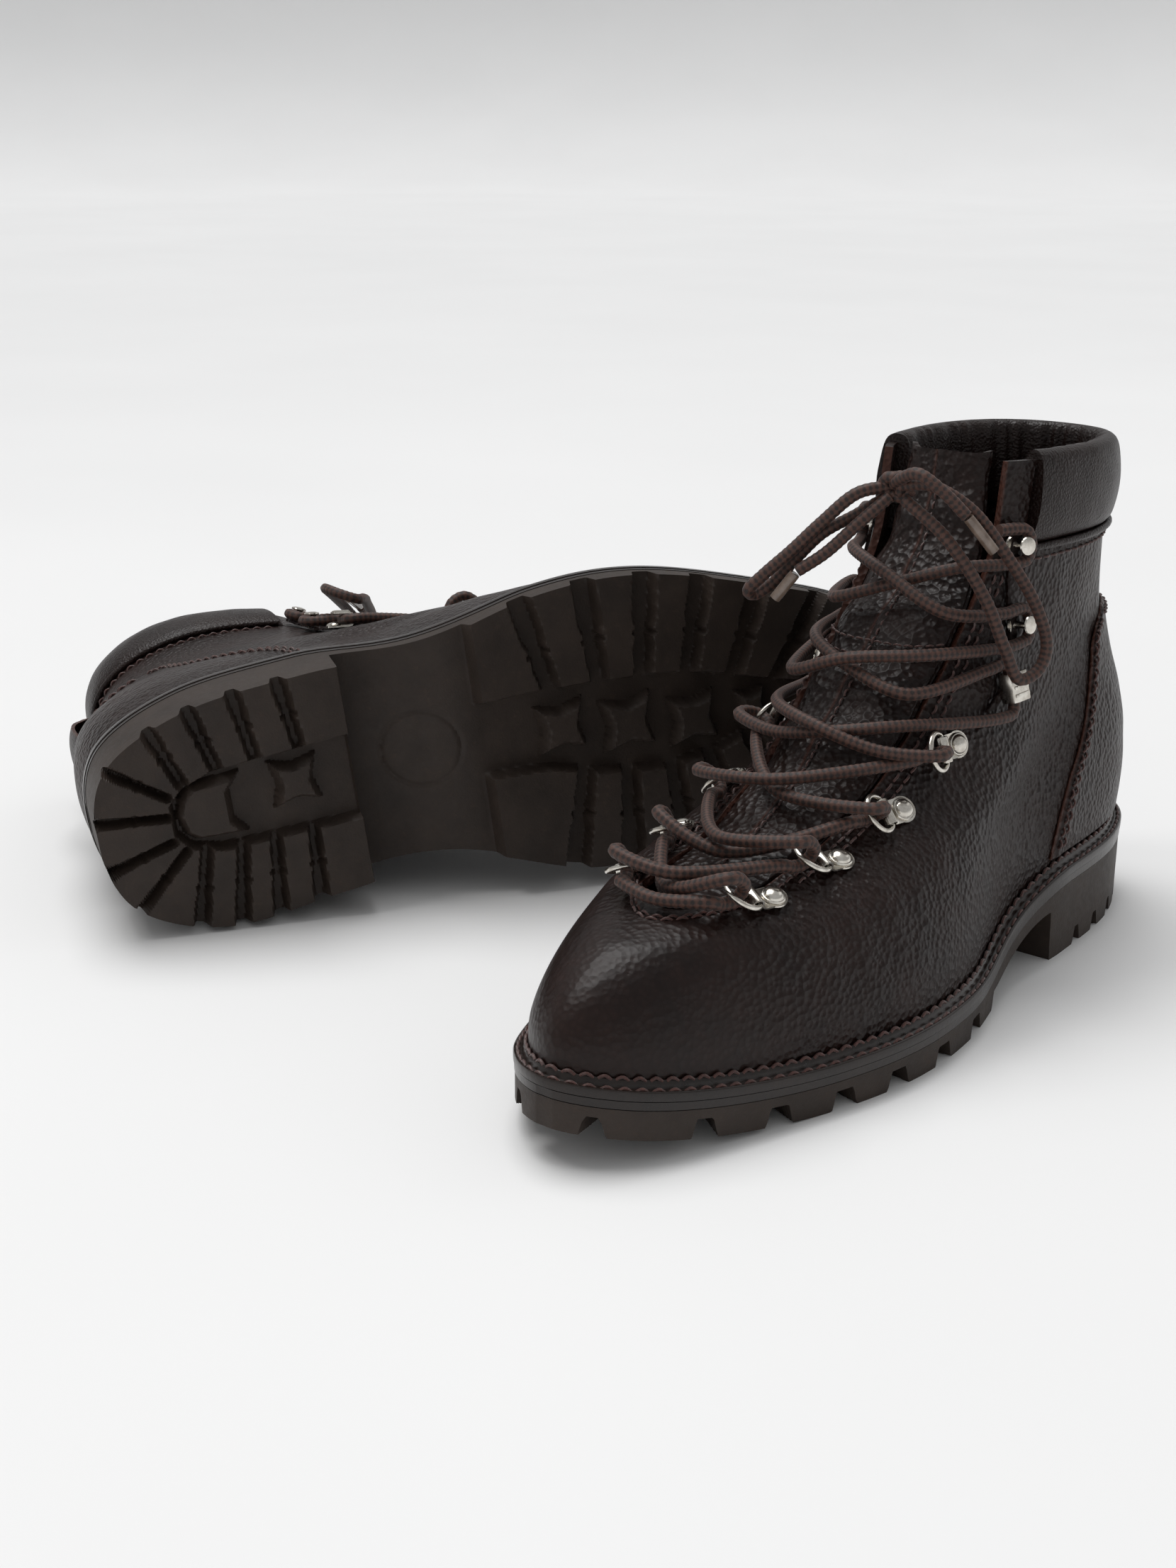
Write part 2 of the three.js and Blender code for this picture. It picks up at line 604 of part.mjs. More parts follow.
// The hooks of one side share the backing strip that they are riveted to.
function hookSet(side) {
  const levels = [0.66, LOCK_HOOK.t, 0.745, SPEED_HOOKS[0].t, 0.855, SPEED_HOOKS[1].t, 0.93];
  const strip = levels.map((t) => station(t, side * hookLine(t)));
  const corners = strip.flatMap((frame) =>
    [[2, -0.1], [7, -0.1], [7, 1.4], [2, 1.4]].map(([x, z]) => vec(x, 0, z).applyMatrix4(frame)));
  const parts = [loft(corners, 4), ...lockHook().map((piece) => placed(piece, station(LOCK_HOOK.t, side * LOCK_HOOK.x)))];
  for (const { t, x } of SPEED_HOOKS) {
    parts.push(...speedHook().map((piece) => placed(piece, station(t, side * x))));
  }
  return join(parts);
}

// ---------------------------------------------------------------- lace and bow

// A curve stepped once per route point, so that tight turns keep their points.
class RouteCurve extends THREE.CatmullRomCurve3 {
  getPointAt(u, target) {
    return this.getPoint(u, target);
  }

  getTangentAt(u, target) {
    return this.getTangent(u, target);
  }
}

function tube(points, radius, sides, steps) {
  const section = new THREE.Shape(range(sides).map((index) => {
    const angle = (2 * Math.PI * index) / sides;
    return new THREE.Vector2(radius * Math.cos(angle), radius * Math.sin(angle));
  }));
  const extrudePath = new RouteCurve(points, false, 'centripetal');
  return new THREE.ExtrudeGeometry(section, { steps, extrudePath, bevelEnabled: false });
}

// The lace's U-turn up through a ring and back over its far arc, in the ring's own frame.
const RING_TURN = [[-13.5, -3.9], [-9.4, -3.5], [-5.9, -1.4], [-5.9, 1.4], [-9.4, 3.5], [-13.5, 3.6]];
// The lace's turn round a hook's stem: lock hook, then speed hook, as (x, y) at lace height.
const LOCK_TURN = [[-5, -8], [2.8, -7.8], [4.4, -3], [4.4, 3], [2.8, 7.8], [-5, 8]];
const SPEED_TURN = [[-4, -5.4], [3, -5.4], [7, -4.6], [8.8, 0], [7, 4.6], [3, 5.4], [-4, 5.4]];
const HOOK_LACE_HEIGHT = 3.6;

function turnPoints(index, side) {
  if (index < CLIPS.length) {
    const place = CLIPS[index];
    const frame = ringFrame(station(place.t, side * place.x));
    return RING_TURN.map(([x, z]) => vec(x, 0, z).applyMatrix4(frame));
  }
  const hook = index - CLIPS.length;
  const place = hook === 0 ? LOCK_HOOK : SPEED_HOOKS[hook - 1];
  const frame = station(place.t, side * place.x);
  const upward = side > 0 ? 1 : -1;
  const turn = hook === 0 ? LOCK_TURN : SPEED_TURN;
  return turn.map(([x, y]) => vec(x, y * upward, HOOK_LACE_HEIGHT).applyMatrix4(frame));
}

const turnLevel = (index) => [...CLIPS, LOCK_HOOK, ...SPEED_HOOKS][index].t;

// Between two hook turns the lace also bends over the shoulders of the instep.
const SHOULDER = 1.9;
const SHOULDER_HEIGHT = 4.6;

function strand(index, side, crossing) {
  const [from, to] = [turnLevel(index), turnLevel(index + 1)];
  const middle = surface((from + to) / 2, COLUMNS / 2, crossing);
  if (index < CLIPS.length - 1) return [middle];
  const shoulder = (part, way) =>
    surface(lerp(from, to, part), COLUMNS / 2 - way * SHOULDER, lerp(SHOULDER_HEIGHT, crossing, 0.4));
  return [shoulder(0.25, side), middle, shoulder(0.75, -side)];
}

// One half of the lace: from the bottom bar it crosses over at every turn, height above the flaps given.
function laceHalf(firstSide, crossing) {
  const points = [];
  const turns = CLIPS.length + 1 + SPEED_HOOKS.length;
  for (const index of range(turns)) {
    const side = index % 2 ? -firstSide : firstSide;
    points.push(...turnPoints(index, side));
    if (index < turns - 1) points.push(...strand(index, side, crossing));
  }
  return points;
}

function lace() {
  const bar = surface(0.375, COLUMNS / 2, 4.2);
  const points = [...laceHalf(1, 4.4).reverse(), bar, ...laceHalf(-1, 9.3)];
  return tube(points, LACE_RADIUS, 6, points.length - 1);
}

// Bow, as (x, s, z) points by hand: the loops fall to the medial and the lateral side, and so do the tails.
const KNOT = [-1, 132, 161];
const LEFT_LOOP = [
  [-3, 132, 161], [-10, 140, 159], [-18, 147, 150], [-25, 153, 141], [-32, 158, 133], [-36, 160, 128],
  [-36, 157, 126], [-32, 154, 129], [-26, 150, 137], [-19, 145, 146], [-11, 138, 152], [-3, 133, 158],
];
const RIGHT_LOOP = [
  [2, 133, 162], [12, 133, 163], [23, 127, 156], [33, 120, 141], [41, 114, 125], [44, 112, 113], [43, 115, 106],
  [40, 121, 104], [37, 126, 114], [31, 130, 130], [19, 135, 148], [4, 135, 158],
];
const LEFT_TAIL = [[-2, 134, 158], [-8, 142, 150], [-15, 149, 141], [-22, 154, 135]];
const RIGHT_TAIL = [[1, 135, 164], [10, 138, 167], [18, 136, 162], [24, 132, 155]];
const LEFT_AGLET = [[-22.5, 154.3, 134.3], [-28, 157, 126]];
const RIGHT_AGLET = [[24.4, 131.7, 154.5], [31, 126, 144]];

const route = (points) => points.map(([x, s, z]) => at(x, s, z));

function bow() {
  const knot = new THREE.SphereGeometry(5, 8, 6);
  knot.scale(1.25, 0.9, 0.9);
  knot.translate(...at(...KNOT).toArray());
  const cords = [LEFT_LOOP, RIGHT_LOOP, LEFT_TAIL, RIGHT_TAIL];
  return join([knot, ...cords.map((points) => tube(route(points), LACE_RADIUS, 6, points.length - 1))]);
}

function aglet(ends) {
  return tube(route(ends), LACE_RADIUS * 0.95, 8, 1);
}

// ---------------------------------------------------------------- assembly

const MATERIALS = {
  rubber: new THREE.MeshStandardMaterial({ color: 0x2a2320, roughness: 0.75, metalness: 0 }),
  edge: new THREE.MeshStandardMaterial({ color: 0x1c1512, roughness: 0.4, metalness: 0 }),
  leather: new THREE.MeshStandardMaterial({ color: 0x2e211d, roughness: 0.5, metalness: 0 }),
  lining: new THREE.MeshStandardMaterial({ color: 0x241d1a, roughness: 0.8, metalness: 0 }),
  lace: new THREE.MeshStandardMaterial({ color: 0x4a2f22, roughness: 0.85, metalness: 0 }),
  aglet: new THREE.MeshStandardMaterial({ color: 0x6b5a4e, roughness: 0.3, metalness: 0 }),
  nickel: new THREE.MeshStandardMaterial({ color: 0xb8b2a6, roughness: 0.25, metalness: 1 }),
};

function bootParts() {
  const parts = [
    ['outsole', outsole(), 'rubber'],
    ['midsole', midsole(), 'edge'],
    ['welt', welt(), 'edge'],
    ['footbed', footbed(), 'lining'],
    ['upper', upper(), 'leather'],
    ['heel_counter', heelCounter(), 'leather'],
    ['collar', collar(), 'leather'],
    ['tongue', tongue(), 'leather'],
    ['lace', lace(), 'lace'],
    ['bow', bow(), 'lace'],
    ['aglet_medial', aglet(LEFT_AGLET), 'aglet'],
    ['aglet_lateral', aglet(RIGHT_AGLET), 'aglet'],
    ['hooks_lateral', hookSet(1), 'nickel'],
    ['hooks_medial', hookSet(-1), 'nickel'],
  ];
  for (const [name, side] of [['lateral', 1], ['medial', -1]]) {
    CLIPS.forEach((place, index) => {
      const frame = station(place.t, side * place.x);
      parts.push([`clip_${name}_${index + 1}`, placed(clip(), frame), 'nickel']);
      parts.push([`ring_${name}_${index + 1}`, placed(dRing(), ringFrame(frame)), 'nickel']);
    });
  }
  return parts;
}

function boot(prefix, parts) {
  const group = new THREE.Group();
  for (const [name, geometry, material] of parts) {
    const mesh = new THREE.Mesh(geometry, MATERIALS[material].clone());
    mesh.name = `${prefix}_${name}`;
    group.add(mesh);
  }
  return group;
}

const parts = bootParts();
const left = boot('left', parts);
const right = boot('right', parts);
right.scale.x = -1;
right.rotation.set(...LYING_EULER.map((angle) => THREE.MathUtils.degToRad(angle)));
right.position.set(...LYING_POSITION);

const boots = new THREE.Group();
boots.add(left, right);

export default boots;
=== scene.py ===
"""Blender looks for a pair of mountaineering boots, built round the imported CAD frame."""

import math

import bpy
import numpy as np
from mathutils import Matrix


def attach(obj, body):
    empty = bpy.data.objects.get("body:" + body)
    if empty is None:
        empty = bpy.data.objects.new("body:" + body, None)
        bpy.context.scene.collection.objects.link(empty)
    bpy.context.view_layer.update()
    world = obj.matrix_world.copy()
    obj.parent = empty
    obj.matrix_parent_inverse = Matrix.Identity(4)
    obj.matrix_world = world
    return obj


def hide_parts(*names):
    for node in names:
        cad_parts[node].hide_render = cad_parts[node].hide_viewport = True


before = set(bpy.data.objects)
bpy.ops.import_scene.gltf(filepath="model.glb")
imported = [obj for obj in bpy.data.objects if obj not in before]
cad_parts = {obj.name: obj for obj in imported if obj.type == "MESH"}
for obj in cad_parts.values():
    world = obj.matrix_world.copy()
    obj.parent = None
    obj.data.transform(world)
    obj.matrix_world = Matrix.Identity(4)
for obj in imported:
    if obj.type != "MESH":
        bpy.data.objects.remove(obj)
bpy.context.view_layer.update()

MM = 0.001

# ---------------------------------------------------------------- the boot's shape, in millimetres

HEEL_BACK_Y = 40.0
SOLE_LENGTH = 306.0
HEEL_SEAT, SEAT_DROP = 30.7, 15.8
TOE_SPRING, SPRING_START = 11.6, 225.0
WELT_WIDTH, WELT_THICKNESS = 4.0, 3.0
OUTSOLE_DEPTH = 6.0
LEATHER = 2.6
GAP = 0.3
THROAT_START, COLLAR_START = 0.385, 0.905
LACE_RADIUS = 2.0
RING_WIRE, RING_RADIUS = 0.85, 5.8
BAR_HEIGHT, CLIP_WIDTH, CLIP_SEAT = 3.2, 8.0, 0.6
RING_LIFT = math.radians(24)
SIDE_COLUMNS, THROAT_COLUMNS = 9, 3
COLUMNS = 2 * (SIDE_COLUMNS + THROAT_COLUMNS)
FRONT = COLUMNS / 2
RING_POINTS = 360

LYING_EULER = (-93.2, -57.5, 79.6)
LYING_POSITION = (-191.0, -209.4, 40.9)

OUTLINE = np.array([
    (1.9, 0), (26, 8), (39.9, 38), (43.7, 80), (43.8, 118), (53.7, 165), (52.7, 205), (38.5, 252), (21.4, 291),
    (1.1, 306), (-21.5, 292), (-40.9, 258), (-52.8, 222), (-51.9, 172), (-35.6, 125), (-37.5, 80), (-39.8, 38),
    (-25.4, 8),
])

# Levels of the upper: back (s, z), front (s, z), heel and fore width, roundness, half width, bluntness.
LEVELS = np.array([
    (4.5, 30.8, 301.5, 26.4, 1, 1, 0, 36, 0.9),
    (2.6, 41, 300.5, 36.5, 1.01, 0.99, 0, 36, 0.9),
    (1.6, 51, 292, 47, 1, 0.9, 0, 36, 0.9),
    (1.8, 60, 275, 55, 0.97, 0.8, 0, 36, 0.85),
    (2.6, 69, 249, 59.5, 0.94, 0.77, 0.05, 34, 0.8),
    (4.4, 80, 218, 64.5, 0.91, 0.76, 0.25, 33, 0.7),
    (7, 92, 186, 77.5, 0.88, 0.76, 0.6, 32, 0.62),
    (9.5, 105, 162, 97, 0.86, 0.76, 0.92, 31, 0.56),
    (12.5, 120, 142, 115, 0.85, 0.76, 1, 30, 0.52),
    (16.5, 138, 120, 139, 0.85, 0.76, 1, 30, 0.5),
    (17.5, 165, 112, 168, 0.85, 0.76, 1, 31, 0.5),
])


def smooth(value):
    value = np.clip(value, 0, 1)
    return value * value * (3 - 2 * value)


def mix(a, b, share):
    return a + (b - a) * share


def at(x, s, z):
    return np.stack(np.broadcast_arrays(x, HEEL_BACK_Y - np.asarray(s, float), z), -1)


def spring(s):
    return TOE_SPRING * np.clip((s - SPRING_START) / (SOLE_LENGTH - SPRING_START), 0, 1) ** 2


def welt_top(s):
    return HEEL_SEAT - SEAT_DROP * smooth((s - 78) / 74) + spring(s)


def cubic(a, b, c, d, f):
    return 0.5 * (2 * b + (c - a) * f + (2 * a - 5 * b + 4 * c - d) * f**2 + (3 * b - a - 3 * c + d) * f**3)


def outline(count, inset):
    """Points (x, s) of the sole's edge, moved inwards by inset."""
    size = len(OUTLINE)
    place = np.arange(count) * size / count
    index = place.astype(int)
    share = (place - index)[:, None]
    points = cubic(*(OUTLINE[(index + k) % size] for k in (-1, 0, 1, 2)), share)
    along = np.roll(points, -1, 0) - np.roll(points, 1, 0)
    along /= np.linalg.norm(along, axis=1)[:, None]
    return points + inset * np.stack([-along[:, 1], along[:, 0]], 1)


FEATHER = outline(RING_POINTS, WELT_WIDTH + 2 * GAP)
FEATHER_BACK, FEATHER_FRONT = FEATHER[:, 1].min(), FEATHER[:, 1].max()


def level_at(t):
    last = len(LEVELS) - 1
    padded = np.vstack([2 * LEVELS[0] - LEVELS[1], LEVELS, 2 * LEVELS[-1] - LEVELS[-2]])
    place = min(max(t, 0), 1) * last
    index = min(int(place), last - 1)
    return cubic(*padded[index : index + 4], place - index)


def ring(t):
    """One closed line round the upper at level t."""
    back_s, back_z, front_s, front_z, heel, fore, roundness, half, blunt = level_at(t)
    along = np.clip((FEATHER[:, 1] - FEATHER_BACK) / (FEATHER_FRONT - FEATHER_BACK), 0, 1)
    turn = np.arccos(1 - 2 * along)
    side = np.where(np.arange(RING_POINTS) < RING_POINTS / 2, 1, -1)
    exponent = mix(0.9, blunt, smooth((along - 0.3) / 0.5))
    oval = side * half * np.sin(turn) ** exponent * (1 + 0.06 * np.cos(turn))
    plain = FEATHER[:, 0] * mix(heel, fore, smooth((along - 0.25) / 0.45))
    low = welt_top(FEATHER[:, 1]) + mix(back_z - LEVELS[0][1], front_z - LEVELS[0][3], along)
    high = mix(back_z, front_z, along)
    lift = smooth(t * (len(LEVELS) - 1) / 3)
    return at(mix(plain, oval, roundness), mix(back_s, front_s, along), mix(low, high, lift))


def throat_half(t):
    return mix(15, 22, smooth((t - 0.3) / 0.45))


PER_COLUMN = 16
TABLE_LEVELS = 200


def even_ring(t):
    """A ring resampled so that the throat's edges and the front keep their columns."""
    points = ring(t)
    front = RING_POINTS // 2
    across = points[:, 0] - points[front, 0]
    half = throat_half(t)
    lateral = front
    while across[lateral] < half:
        lateral -= 1
    lateral += (across[lateral] - half) / (across[lateral] - across[lateral + 1])
    medial = front
    while -across[medial] < half:
        medial += 1
    medial -= (-across[medial] - half) / (-across[medial] + across[medial - 1])
    closed = np.vstack([points, points[:1]])
    length = np.concatenate([[0], np.cumsum(np.linalg.norm(np.diff(closed, axis=0), axis=1))])
    stops = np.interp([0, lateral, front, medial, RING_POINTS], np.arange(RING_POINTS + 1), length)
    sizes = [SIDE_COLUMNS, THROAT_COLUMNS, THROAT_COLUMNS, SIDE_COLUMNS]
    where = np.concatenate([np.linspace(a, b, size * PER_COLUMN, endpoint=False)
                            for a, b, size in zip(stops, stops[1:], sizes)])
    return np.stack([np.interp(where, length, closed[:, k]) for k in range(3)], -1)


def unit(vectors):
    return vectors / np.maximum(np.linalg.norm(vectors, axis=-1, keepdims=True), 1e-9)


RINGS = np.stack([even_ring(t) for t in np.linspace(0, 1, TABLE_LEVELS + 1)])
NORMALS = unit(np.cross(np.gradient(RINGS, axis=0), np.roll(RINGS, -2, 1) - np.roll(RINGS, 2, 1)))


def lookup(table, t, column):
    t, column = np.broadcast_arrays(np.asarray(t, float), np.asarray(column, float))
    row = np.clip(t, 0, 1) * TABLE_LEVELS
    low = np.minimum(row.astype(int), TABLE_LEVELS - 1)
    up = (row - low)[..., None]
    place = (column % COLUMNS) * PER_COLUMN
    left = place.astype(int) % table.shape[1]
    right = (left + 1) % table.shape[1]
    share = (place - np.floor(place))[..., None]
    below = mix(table[low, left], table[low, right], share)
    above = mix(table[low + 1, left], table[low + 1, right], share)
    return mix(below, above, up)


def surface(t, column, offset=0.0):
    """Points of the upper's surface, moved outwards by offset."""
    offset = np.asarray(offset, float)[..., None]
    return lookup(RINGS, t, column) + offset * unit(lookup(NORMALS, t, column))


def station(t, x):
    """Frame on the surface where x is given: columns away from the centre, up the edge, outwards, place."""
    points = ring(t)
    front = RING_POINTS // 2
    side = 1 if x > 0 else -1
    index = front
    while side * (points[index, 0] - x) < 0:
        index -= side
    inner = points[index + side]
    share = np.clip((x - inner[0]) / (points[index, 0] - inner[0]), 0, 1)
    point = mix(inner, points[index], share)
    higher = ring(min(t + 0.02, 1))
    above = mix(higher[index + side], higher[index], share)
    along = unit(points[index - 2 * side] - points[index + 2 * side])
    normal = unit(np.cross(along, above - point) * side)
    place = np.eye(4)
    place[:3, 0], place[:3, 1], place[:3, 2] = along, unit(np.cross(normal, along)), normal
    place[:3, 3] = point + normal * CLIP_SEAT
    return place


def column_at_s(t, s):
    """Column on the lateral side where the ring passes s, from the heel."""
    row = RINGS[int(round(t * TABLE_LEVELS))][: int(FRONT * PER_COLUMN)]
    return float(np.interp(s, HEEL_BACK_Y - row[:, 1], np.arange(len(row)))) / PER_COLUMN


# ---------------------------------------------------------------- meshes from points


def grid_faces(rows, columns, wrap, present):
    """Faces of a closed skin over two layers of a grid, with walls round every missing cell."""
    wide = columns if wrap else columns - 1
    r, c = np.mgrid[0 : rows - 1, 0:wide]
    if present is None:
        present = np.ones((rows - 1, wide), bool)
    spot = lambda row, column: row * columns + column % columns
    quad = np.stack([spot(r, c), spot(r, c + 1), spot(r + 1, c + 1), spot(r + 1, c)], -1)
    layer = rows * columns
    faces = [quad[present], quad[present][:, ::-1] + layer]
    around = np.zeros((rows + 1, wide + 2), bool)
    around[1:-1, 1:-1] = present
    if wrap:
        around[1:-1, 0], around[1:-1, -1] = present[:, -1], present[:, 0]
    sides = {(0, 1): around[:-2, 1:-1], (1, 2): around[1:-1, 2:],
             (2, 3): around[2:, 1:-1], (3, 0): around[1:-1, :-2]}
    for (a, b), neighbour in sides.items():
        edge = quad[present & ~neighbour]
        faces.append(np.stack([edge[:, b], edge[:, a], edge[:, a] + layer, edge[:, b] + layer], -1))
    return np.vstack(faces)


def loop_faces(count, size, closed=False):
    """Faces of a tube of count loops with size points each, capped unless it is closed on itself."""
    faces = []
    for row in range(count if closed else count - 1):
        a, b = row * size, ((row + 1) % count) * size
        faces += [(a + k, a + (k + 1) % size, b + (k + 1) % size, b + k) for k in range(size)]
    if not closed:
        faces += [tuple(range(size))[::-1], tuple((count - 1) * size + k for k in range(size))]
    return faces


def compact(points, faces, values):
    used, inverse = np.unique(faces, return_inverse=True)
    values = {key: value[used] for key, value in values.items()}
    return points[used], inverse.reshape(faces.shape), values


def skin(outer, inner, wrap=False, present=None, **values):
    """Closed sheet between two point grids; values are numbers per outer point, kept as attributes."""
    rows, columns = outer.shape[:2]
    points = np.vstack([outer.reshape(-1, 3), inner.reshape(-1, 3)])
    both = {key: np.concatenate([value.ravel(), value.ravel()]) for key, value in values.items()}
    return compact(points, grid_faces(rows, columns, wrap, present), both)


def merge(parts):
    points, faces, values, start = [], [], {}, 0
    keys = parts[0][2].keys()
    for part_points, part_faces, part_values in parts:
        points.append(part_points)
        faces.extend(tuple(int(corner) + start for corner in face) for face in part_faces)
        for key in keys:
            values.setdefault(key, []).append(part_values[key])
        start += len(part_points)
    return np.vstack(points), faces, {key: np.concatenate(value) for key, value in values.items()}


# A direction that no swept path starts along, to turn its first side away from.
SWEEP_START = (0.3, 0.2, 0.93)


def sweep(points, radius, sides, closed=False, profile=None):
    """Tube along points; profile(angle, distance) gives the radius's factor, kept from 0 to 1 as a mask for
    painted shade, low in the hollows.
    """
    count = len(points)
    if closed:
        tangent = unit(np.roll(points, -1, 0) - np.roll(points, 1, 0))
    else:
        tangent = unit(np.gradient(points, axis=0))
    side = np.zeros_like(points)
    side[0] = unit(np.cross(tangent[0], SWEEP_START))
    for k in range(1, count):
        side[k] = unit(side[k - 1] - tangent[k] * np.dot(side[k - 1], tangent[k]))
    over = np.cross(tangent, side)
    distance = np.concatenate([[0], np.cumsum(np.linalg.norm(np.diff(points, axis=0), axis=1))])
    angle = np.arange(sides) * 2 * math.pi / sides
    angles, distances = np.meshgrid(angle, distance)
    factor = np.ones_like(angles) if profile is None else profile(angles, distances)
    reach = (radius * factor)[..., None]
    rim = side[:, None] * np.cos(angles)[..., None] + over[:, None] * np.sin(angles)[..., None]
    tube = (points[:, None] + reach * rim).reshape(-1, 3)
    # Relief share, 0 in the hollows and 1 on the crests, which the lace uses to paint shade into its hollows.
    low, high = factor.min(), factor.max()
    relief_shade = (factor.ravel() - low) / max(high - low, 1e-6)
    return tube, loop_faces(count, sides, closed), {"relief_shade": relief_shade}


def smooth_path(points, step):
    """Centripetal Catmull-Rom curve through the points, at even steps."""
    points = np.asarray(points, float)
    ends = np.vstack([2 * points[0] - points[1], points, 2 * points[-1] - points[-2]])
    dense = []
    for a, b, c, d in zip(ends, ends[1:], ends[2:], ends[3:]):
        pairs = ((a, b), (b, c), (c, d))
        knots = np.cumsum([0] + [max(np.linalg.norm(q - p), 1e-6) ** 0.5 for p, q in pairs])
        for u in np.linspace(knots[1], knots[2], 16, endpoint=False):
            a1 = mix(a, b, (u - knots[0]) / (knots[1] - knots[0]))
            a2 = mix(b, c, (u - knots[1]) / (knots[2] - knots[1]))
            a3 = mix(c, d, (u - knots[2]) / (knots[3] - knots[2]))
            b1 = mix(a1, a2, (u - knots[0]) / (knots[2] - knots[0]))
            b2 = mix(a2, a3, (u - knots[1]) / (knots[3] - knots[1]))
            dense.append(mix(b1, b2, (u - knots[1]) / (knots[2] - knots[1])))
    dense = np.array(dense + [points[-1]])
    length = np.concatenate([[0], np.cumsum(np.linalg.norm(np.diff(dense, axis=0), axis=1))])
    where = np.linspace(0, length[-1], max(int(length[-1] / step), 4))
    return np.stack([np.interp(where, length, dense[:, k]) for k in range(3)], -1)


def lathe(profile, sides=28):
    """Closed solid of revolution about Z from (radius, z) points that start and end on the axis."""
    points, faces = [(0, 0, profile[0][1])], []
    for radius, z in profile[1:-1]:
        for j in range(sides):
            angle = 2 * math.pi * j / sides
            points.append((radius * math.cos(angle), radius * math.sin(angle), z))
    points.append((0, 0, profile[-1][1]))
    rows = len(profile) - 2
    for j in range(sides):
        k = (j + 1) % sides
        faces.append((0, 1 + k, 1 + j))
        for row in range(rows - 1):
            a, b = 1 + row * sides, 1 + (row + 1) * sides
            faces.append((a + j, a + k, b + k, b + j))
        top = 1 + (rows - 1) * sides
        faces.append((top + j, top + k, len(points) - 1))
    return np.array(points), faces, {}


def extrude_y(profile, width, bevel=0.25):
    """Prism of an (x, z) outline along Y with its two rims drawn in by a small bevel."""
    profile = np.asarray(profile, float)
    middle = profile.mean(0)
    tight = middle + (profile - middle) * (1 - bevel / np.linalg.norm(profile - middle, axis=1).max())
    half = width / 2
    stations = [(-half, tight), (-half + bevel, profile), (half - bevel, profile), (half, tight)]
    points = np.vstack([np.column_stack([p[:, 0], np.full(len(p), y), p[:, 1]]) for y, p in stations])
    return points, loop_faces(len(stations), len(profile)), {}


def ribbon(path, thickness):
    """Closed (x, z) outline of a bent strip of the given thickness along a path."""
    path = np.asarray(path, float)
    along = unit(np.gradient(path, axis=0))
    across = np.stack([-along[:, 1], along[:, 0]], 1) * thickness / 2
    return np.vstack([path + across, (path - across)[::-1]])


def moved(part, place):
    points, faces, values = part
    return points @ place[:3, :3].T + place[:3, 3], faces, values


# ---------------------------------------------------------------- materials


def shader(name, rough, metallic=0.0, **sockets):
    material = bpy.data.materials.new(name)
    material.use_nodes = True
    bsdf = material.node_tree.nodes["Principled BSDF"]
    bsdf.inputs["Roughness"].default_value = rough
    bsdf.inputs["Metallic"].default_value = metallic
    for key, value in sockets.items():
        bsdf.inputs[key.replace("_", " ")].default_value = value
    return material, material.node_tree, bsdf


def node(tree, kind, **inputs):
    made = tree.nodes.new(kind)
    for key, value in inputs.items():
        made.inputs[key].default_value = value
    return made


def coordinates(tree):
    return tree.nodes.new("ShaderNodeTexCoord").outputs["Object"]


def noise(tree, scale, detail=4.0, rough=0.5):
    made = node(tree, "ShaderNodeTexNoise", Scale=scale, Detail=detail, Roughness=rough)
    tree.links.new(coordinates(tree), made.inputs["Vector"])
    return made.outputs["Fac"]


def cells(tree, scale):
    made = node(tree, "ShaderNodeTexVoronoi", Scale=scale)
    made.feature = "SMOOTH_F1"
    made.inputs["Smoothness"].default_value = 0.35
    tree.links.new(coordinates(tree), made.inputs["Vector"])
    return made.outputs["Distance"]


def ramp(tree, factor, *stops):
    made = tree.nodes.new("ShaderNodeValToRGB")
    elements = made.color_ramp.elements
    while len(elements) < len(stops):
        elements.new(0.5)
    for element, (place, colour) in zip(elements, stops):
        element.position = place
        element.color = (*colour, 1)
    tree.links.new(factor, made.inputs["Fac"])
    return made.outputs["Color"]


def blend_colour(tree, factor, a, b, mode="MIX"):
    made = tree.nodes.new("ShaderNodeMix")
    made.data_type = "RGBA"
    made.blend_type = mode
    if isinstance(factor, float):
        made.inputs[0].default_value = factor
    else:
        tree.links.new(factor, made.inputs[0])
    tree.links.new(a, made.inputs[6])
    if isinstance(b, tuple):
        made.inputs[7].default_value = (*b, 1)
    else:
        tree.links.new(b, made.inputs[7])
    return made.outputs[2]


def bump(tree, bsdf, *layers):
    """Chain of (height, strength, distance in metres) into the shader's normal."""
    normal = None
    for height, strength, distance in layers:
        made = node(tree, "ShaderNodeBump", Distance=distance)
        if isinstance(strength, float):
            made.inputs["Strength"].default_value = strength
        else:
            tree.links.new(strength, made.inputs["Strength"])
        tree.links.new(height, made.inputs["Height"])
        if normal:
            tree.links.new(normal, made.inputs["Normal"])
        normal = made.outputs["Normal"]
    tree.links.new(normal, bsdf.inputs["Normal"])


def span(tree, value, low, high):
    made = node(tree, "ShaderNodeMapRange")
    made.inputs["To Min"].default_value = low
    made.inputs["To Max"].default_value = high
    tree.links.new(value, made.inputs["Value"])
    return made.outputs["Result"]


def attribute(tree, name):
    made = tree.nodes.new("ShaderNodeAttribute")
    made.attribute_name = name
    return made.outputs["Fac"]


def dressed(look, colour, rough, *layers):
    """Material with its colour, an optional roughness and its bump layers linked to the shader."""
    material, tree, bsdf = look
    tree.links.new(colour, bsdf.inputs["Base Color"])
    if rough:
        tree.links.new(rough, bsdf.inputs["Roughness"])
    if layers:
        bump(tree, bsdf, *layers)
    return material


RAW_EDGE = (0.055, 0.02, 0.013)


